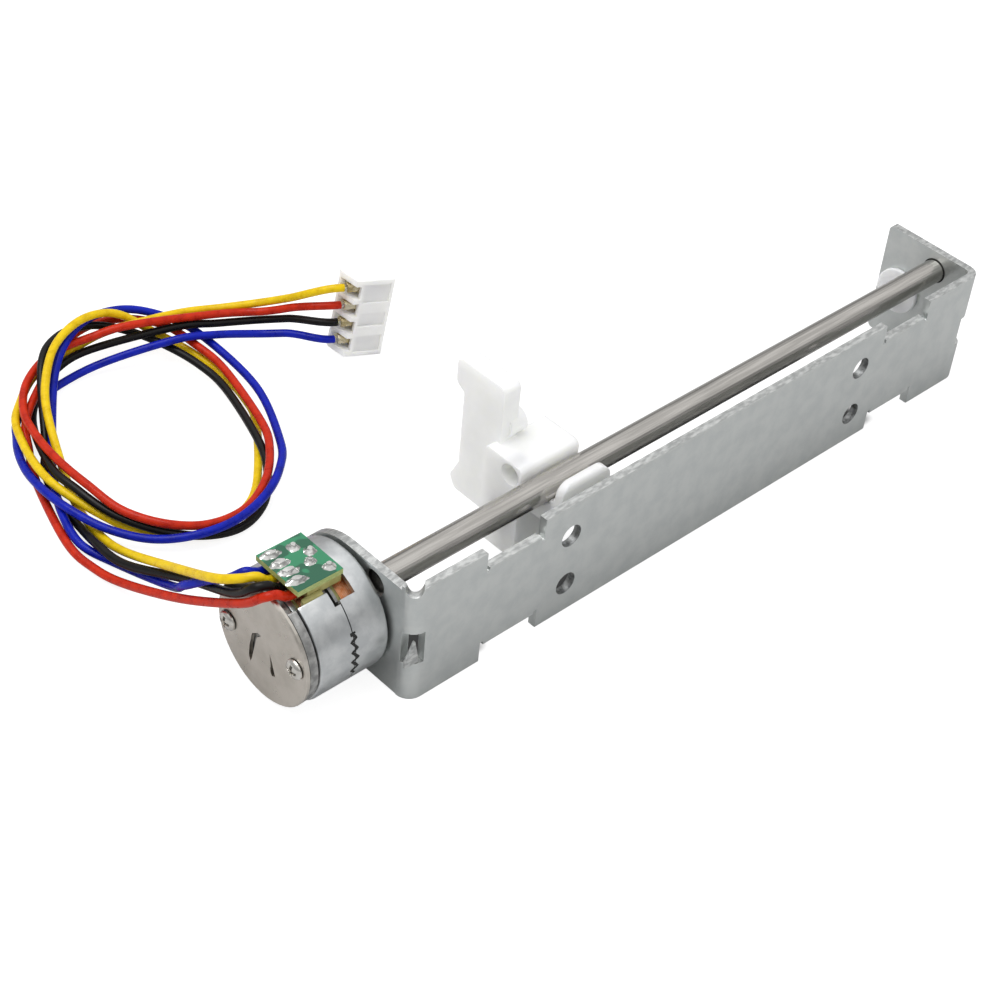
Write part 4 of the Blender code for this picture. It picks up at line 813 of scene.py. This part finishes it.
# %% Board
def solder_mask():
    made = finish("solder_mask", (0.012, 0.16, 0.075), 0.3, Coat_Weight=0.3)
    patches = speckle(made, 2.2 * MM, detail=1.0)
    colour_from(made, patches, (0.005, 0.095, 0.045), (0.018, 0.21, 0.095), 0.46, 0.5)
    return made


LAMINATE = finish("laminate_edge", (0.36, 0.42, 0.13), 0.5)
colour_from(LAMINATE, speckle(LAMINATE, 0.5 * MM, stretch=(1, 1, 5)), (0.26, 0.34, 0.10),
            (0.46, 0.50, 0.20))
SOLDER = plated("bright_solder", (0.55, 0.55, 0.53), (0.80, 0.80, 0.78), 0.12, 0.26)


def board():
    bm = solid_of("circuit_board")
    soften(bm, 0.05 * MM, 1)
    bm.normal_update()
    for face in bm.faces:
        face.material_index = 0 if abs(face.normal.z) > 0.7 else 1
    made = link("circuit_board_dressed", bm, (solder_mask(), LAMINATE), "frame")
    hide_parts("circuit_board")


board()
BOARD_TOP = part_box("circuit_board")[1].z
print("board's top at z =", round(BOARD_TOP / MM, 2), "mm")

# %% [markdown]
# ### Solder
# Molten solder climbs each pin and wire end into a cone with a hollow flank, and freezes
# a little lumpy. Rings of points along a hollow profile give the flank, and noise moves
# each point, so no two joints are alike. A Displace modifier could do the lumps, but this
# noise is read at the joint's own place, so every run gives the same ones.

# %% Solder joints
JOINT_RINGS, JOINT_AROUND = 9, 28
CONE_POWER, RISE_POWER = 1.6, 1.25


def solder_joint(name, x, y, radius, height, tip, stretch=(1.0, 1.0), turn_by=0.0):
    rings = []
    for step_up in range(JOINT_RINGS):
        share = step_up / (JOINT_RINGS - 1)
        flank = tip + (radius - tip) * (1 - share) ** CONE_POWER
        level = height * (1 - (1 - share) ** RISE_POWER)
        ring = []
        for step in range(JOINT_AROUND):
            angle = math.tau * step / JOINT_AROUND
            across = Vector((flank * stretch[0] * math.cos(angle),
                             flank * stretch[1] * math.sin(angle), level))
            across = Matrix.Rotation(turn_by, 3, "Z") @ across
            seed = Vector((x, y, 0)) / MM + across / MM * 0.9
            lump = 1 + 0.22 * noise.noise(seed * 1.9) + 0.12 * noise.noise(seed * 5)
            ring.append((x + across.x * lump, y + across.y * lump,
                         BOARD_TOP + across.z * (0.8 + 0.2 * lump)))
        rings.append(ring)
    return link(name, skinned(rings), SOLDER, "frame", 60)


for index in range(1, 5):
    low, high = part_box(f"terminal_pin_{index}")
    x, y = (low.x + high.x) / 2, (low.y + high.y) / 2
    joint = solder_joint(f"pin_joint_{index}", x, y, 0.70 * MM, 0.5 * MM, 0.26 * MM)
    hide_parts(f"terminal_pin_{index}")
    print("pin", index, "stands at", round(x / MM, 2), round(y / MM, 2))

# %% [markdown]
# ### Wire pads
# Each wire end is soldered flat on a long pad, so its joint is the same cone, stretched
# along the pad and turned a little towards the wire.

# %% Wire pads
# Places as (x, y), in millimetres
WIRE_PADS = {"blue": (-53.9, 13.0), "yellow": (-53.9, 11.4), "black": (-54.0, 10.0),
             "red": (-54.1, 8.5)}
PAD_STRETCH = (1.4, 0.74)
PAD_TURN = math.radians(-12)
for colour_name, (x, y) in WIRE_PADS.items():
    solder_joint(f"{colour_name}_pad_joint", x * MM, y * MM, 0.84 * MM, 0.45 * MM, 0.42 * MM,
                 PAD_STRETCH, PAD_TURN)
print("wire pads soldered:", len(WIRE_PADS))

# %% [markdown]
# ## White mouldings
# The carriage, the far bush and the connector are natural white plastics. Light goes a
# little way into them, so their edges look soft. Subsurface scattering does that; a plain
# white diffuse would look like plaster.

# %% Plastics
def white_plastic(name, colour, depth, roughness):
    made = finish(name, colour, roughness, Subsurface_Weight=0.9, Subsurface_Scale=1.0)
    shader_of(made).inputs["Subsurface Radius"].default_value = (depth, depth, depth * 0.9)
    skin = speckle(made, 3 * MM)
    shade = tuple(c * 0.96 for c in colour)
    colour_from(made, skin, shade, colour)
    roughness_from(made, skin, roughness - 0.05, roughness + 0.07)
    bumped(made, speckle(made, 0.5 * MM), 0.006 * MM, 0.4)
    return made


MOULDING = white_plastic("white_moulding", (0.91, 0.915, 0.905), 2.4 * MM, 0.42)
HOUSING = white_plastic("natural_housing", (0.91, 0.91, 0.89), 0.8 * MM, 0.35)

# %% [markdown]
# ### The carriage and its tab
# The carriage is one moulding, and the CAD piece has its shape. The photograph shows the
# top of its front tab thinner than the CAD piece's, so the points there are drawn towards
# the tab's front face. A lattice would do the same, but one line for the few points is
# plainer.

# %% Carriage
carriage = dress("carriage", MOULDING, "carriage", 0.28 * MM, 3)
TAB_TOP_FROM = 5.0 * MM
TAB_BACK = 4.7 * MM
TAB_DRAFT = 0.62
tab_front = min(vertex.co.y for vertex in carriage.data.vertices)
drafted = 0
for vertex in carriage.data.vertices:
    if vertex.co.z > TAB_TOP_FROM and vertex.co.y < TAB_BACK:
        vertex.co.y = tab_front + (vertex.co.y - tab_front) * TAB_DRAFT
        drafted += 1
print("tab points drawn thinner:", drafted)

# %% Far bush, connector and crimps
dress("screw_end_bearing", MOULDING, "frame", 0.12 * MM)
dress("connector_housing", HOUSING, "frame", 0.1 * MM)
TIN = plated("tinned_brass", (0.42, 0.33, 0.15), (0.66, 0.60, 0.45), 0.2, 0.34)
for index in range(1, 5):
    dress(f"crimp_contact_{index}", TIN, "frame", 0.04 * MM)
print("crimp contacts dressed:", index)

# %% [markdown]
# ## The floor
# The photograph has a white background, but through the two lower holes and the window at
# the near bend it shows a dark floor at the foot of the plate. A floor that glows white to
# the camera can't get that dark by shadow alone, so two soft patches of painted shade are
# darkened into its material there, and metal sees them as well. The rest of the floor is white
# to the camera, with a part of its own shading, so the object's soft shadow stays. Metal sees
# a duller floor, and dull surfaces a pale one.

# %% Painted deep shade in the channel
# Each patch: from and to along x, then along y, and the width of its soft border, in
# millimetres
DEEP_SHADE = (((-25, 31), (0.0, 7.0), 2.6), ((-46, -33), (0.5, 12.8), 2.6))
SHADE_DEPTH = 0.95


def between(made, value, low, high, at_low, at_high):
    """A value that runs from at_low to at_high while the input runs from low to high."""
    node = add(made, "MapRange", interpolation_type="SMOOTHSTEP")
    for socket, number in (("From Min", low), ("From Max", high), ("To Min", at_low),
                           ("To Max", at_high)):
        node.inputs[socket].default_value = number
    wire_up(made, (value, node.inputs["Value"]))
    return node.outputs["Result"]


def product(made, first, second):
    node = add(made, "Math", operation="MULTIPLY")
    for value, socket in ((first, node.inputs[0]), (second, node.inputs[1])):
        if isinstance(value, float):
            socket.default_value = value
        else:
            wire_up(made, (value, socket))
    return node.outputs["Value"]


def inside(made, value, low, high, border):
    """1 between low and high, and 0 outside, with a soft border inside the range."""
    rise = between(made, value, low * MM, (low + border) * MM, 0.0, 1.0)
    fall = between(made, value, (high - border) * MM, high * MM, 1.0, 0.0)
    return product(made, rise, fall)


def beside(made, x, y, patch):
    """1 on the floor beside a patch of painted shade, and near 0 on it."""
    along, across, border = patch
    shade = product(made, inside(made, x, *along, border), inside(made, y, *across, border / 2))
    node = add(made, "Math", operation="MULTIPLY_ADD")
    node.inputs[1].default_value = -SHADE_DEPTH
    node.inputs[2].default_value = 1.0
    wire_up(made, (shade, node.inputs[0]))
    return node.outputs["Value"]


def open_floor(made):
    """1 on the open floor, near 0 on the painted shade at the foot of the channel."""
    place = add(made, "NewGeometry")
    parts = add(made, "SeparateXYZ")
    wire_up(made, (place.outputs["Position"], parts.inputs["Vector"]))
    lights = [beside(made, parts.outputs["X"], parts.outputs["Y"], patch) for patch in DEEP_SHADE]
    return product(made, *lights)


print("shaded patches on the floor:", len(DEEP_SHADE))

# %% Floor
FLOOR_SHADED, FLOOR_GLOW, FLOOR_TO_METAL, FLOOR_PALE = 0.34, 0.86, 0.55, 0.85
FLOOR_REACH = 4.0


def pale_floor():
    made = bpy.data.materials.new("pale_floor")
    made.use_nodes = True
    tree = made.node_tree
    tree.nodes.remove(tree.nodes["Principled BSDF"])
    output = tree.nodes["Material Output"]
    rays = add(made, "LightPath")
    light = open_floor(made)
    # To the camera: white, with the object's soft shadow
    shaded = add(made, "BsdfDiffuse")
    wire_up(made, (product(made, light, FLOOR_SHADED), shaded.inputs["Color"]))
    glow = add(made, "Emission")
    wire_up(made, (product(made, light, FLOOR_GLOW), glow.inputs["Strength"]))
    both = add(made, "AddShader")
    # To metal: a duller table. To dull surfaces: a pale one
    mirrored = add(made, "BsdfDiffuse")
    wire_up(made, (product(made, light, FLOOR_TO_METAL), mirrored.inputs["Color"]))
    pale = add(made, "BsdfDiffuse")
    pale.inputs["Color"].default_value = (FLOOR_PALE, FLOOR_PALE, FLOOR_PALE, 1)
    by_metal = add(made, "MixShader")
    by_camera = add(made, "MixShader")
    wire_up(made, (shaded.outputs["BSDF"], both.inputs[0]),
            (glow.outputs["Emission"], both.inputs[1]),
            (rays.outputs["Is Glossy Ray"], by_metal.inputs["Fac"]),
            (pale.outputs["BSDF"], by_metal.inputs[1]),
            (mirrored.outputs["BSDF"], by_metal.inputs[2]),
            (rays.outputs["Is Camera Ray"], by_camera.inputs["Fac"]),
            (by_metal.outputs["Shader"], by_camera.inputs[1]),
            (both.outputs["Shader"], by_camera.inputs[2]),
            (by_camera.outputs["Shader"], output.inputs["Surface"]))
    return made


bpy.ops.mesh.primitive_plane_add(size=FLOOR_REACH, location=(0, 0, FLOOR_Z - 0.02 * MM))
floor = bpy.context.active_object
floor.name = "floor"
floor.data.materials.append(pale_floor())
print("floor is", FLOOR_REACH, "m wide, at z =", round(floor.location.z / MM, 2), "mm")

# %% [markdown]
# ## The world
# The world has three answers. The camera sees plain white. Dull surfaces get an even
# light, at a level that shows their colours about as they are written. Metal mirrors what
# is round it, so it gets a dim room with a bright ceiling. One picture of a studio could
# do all three, but then nothing could be set by itself.

# %% World
SKY = ((0.0, 0.36), (0.35, 0.40), (0.62, 0.95), (1.0, 1.0))
EVEN_LIGHT = 0.70


def studio_world():
    """White to the camera, an even light for dull surfaces, and a softbox sky for metal."""
    made = bpy.data.worlds.new("studio")
    made.use_nodes = True
    even_light = made.node_tree.nodes["Background"]
    seen_white = add(made, "Background")
    for light, strength in ((even_light, EVEN_LIGHT), (seen_white, 1.0)):
        light.inputs["Color"].default_value = (1, 1, 1, 1)
        light.inputs["Strength"].default_value = strength
    place = add(made, "TexCoord")
    parts = add(made, "SeparateXYZ")
    sky = ramp(made, parts.outputs["Z"], [(height, (level,) * 3) for height, level in SKY])
    mirrored = add(made, "Background")
    rays = add(made, "LightPath")
    by_metal = add(made, "MixShader")
    by_camera = add(made, "MixShader")
    output = made.node_tree.nodes["World Output"]
    wire_up(made, (place.outputs["Generated"], parts.inputs["Vector"]),
            (sky, mirrored.inputs["Color"]),
            (rays.outputs["Is Glossy Ray"], by_metal.inputs["Fac"]),
            (even_light.outputs["Background"], by_metal.inputs[1]),
            (mirrored.outputs["Background"], by_metal.inputs[2]),
            (rays.outputs["Is Camera Ray"], by_camera.inputs["Fac"]),
            (by_metal.outputs["Shader"], by_camera.inputs[1]),
            (seen_white.outputs["Background"], by_camera.inputs[2]),
            (by_camera.outputs["Shader"], output.inputs["Surface"]))
    return made


bpy.context.scene.world = studio_world()
bpy.context.scene.view_settings.view_transform = "Standard"
print("sky levels for metal:", [level for _, level in SKY])

# %% [markdown]
# ## The lamps
# One wide lamp hangs high above the motor's end and draws the soft shadow. A weaker one
# fills in from the camera's right. Its reflection would run down the rod as a bright strip
# that the photograph lacks, so metal doesn't mirror it.

# %% Lamps
def lamp(name, place, target, size, power, mirrored=True):
    data = bpy.data.lights.new(name, "AREA")
    data.size = size
    data.energy = power
    made = bpy.data.objects.new(name, data)
    bpy.context.scene.collection.objects.link(made)
    made.location = place
    aim = Vector(target) - Vector(place)
    made.rotation_euler = aim.to_track_quat("-Z", "Y").to_euler()
    made.visible_glossy = mirrored


lamp("key_lamp", (-0.15, 0.12, 0.48), (0, 0.01, 0), 0.35, 1.55)
lamp("fill_lamp", (0.35, -0.40, 0.30), (0, 0, 0), 0.4, 0.6, mirrored=False)
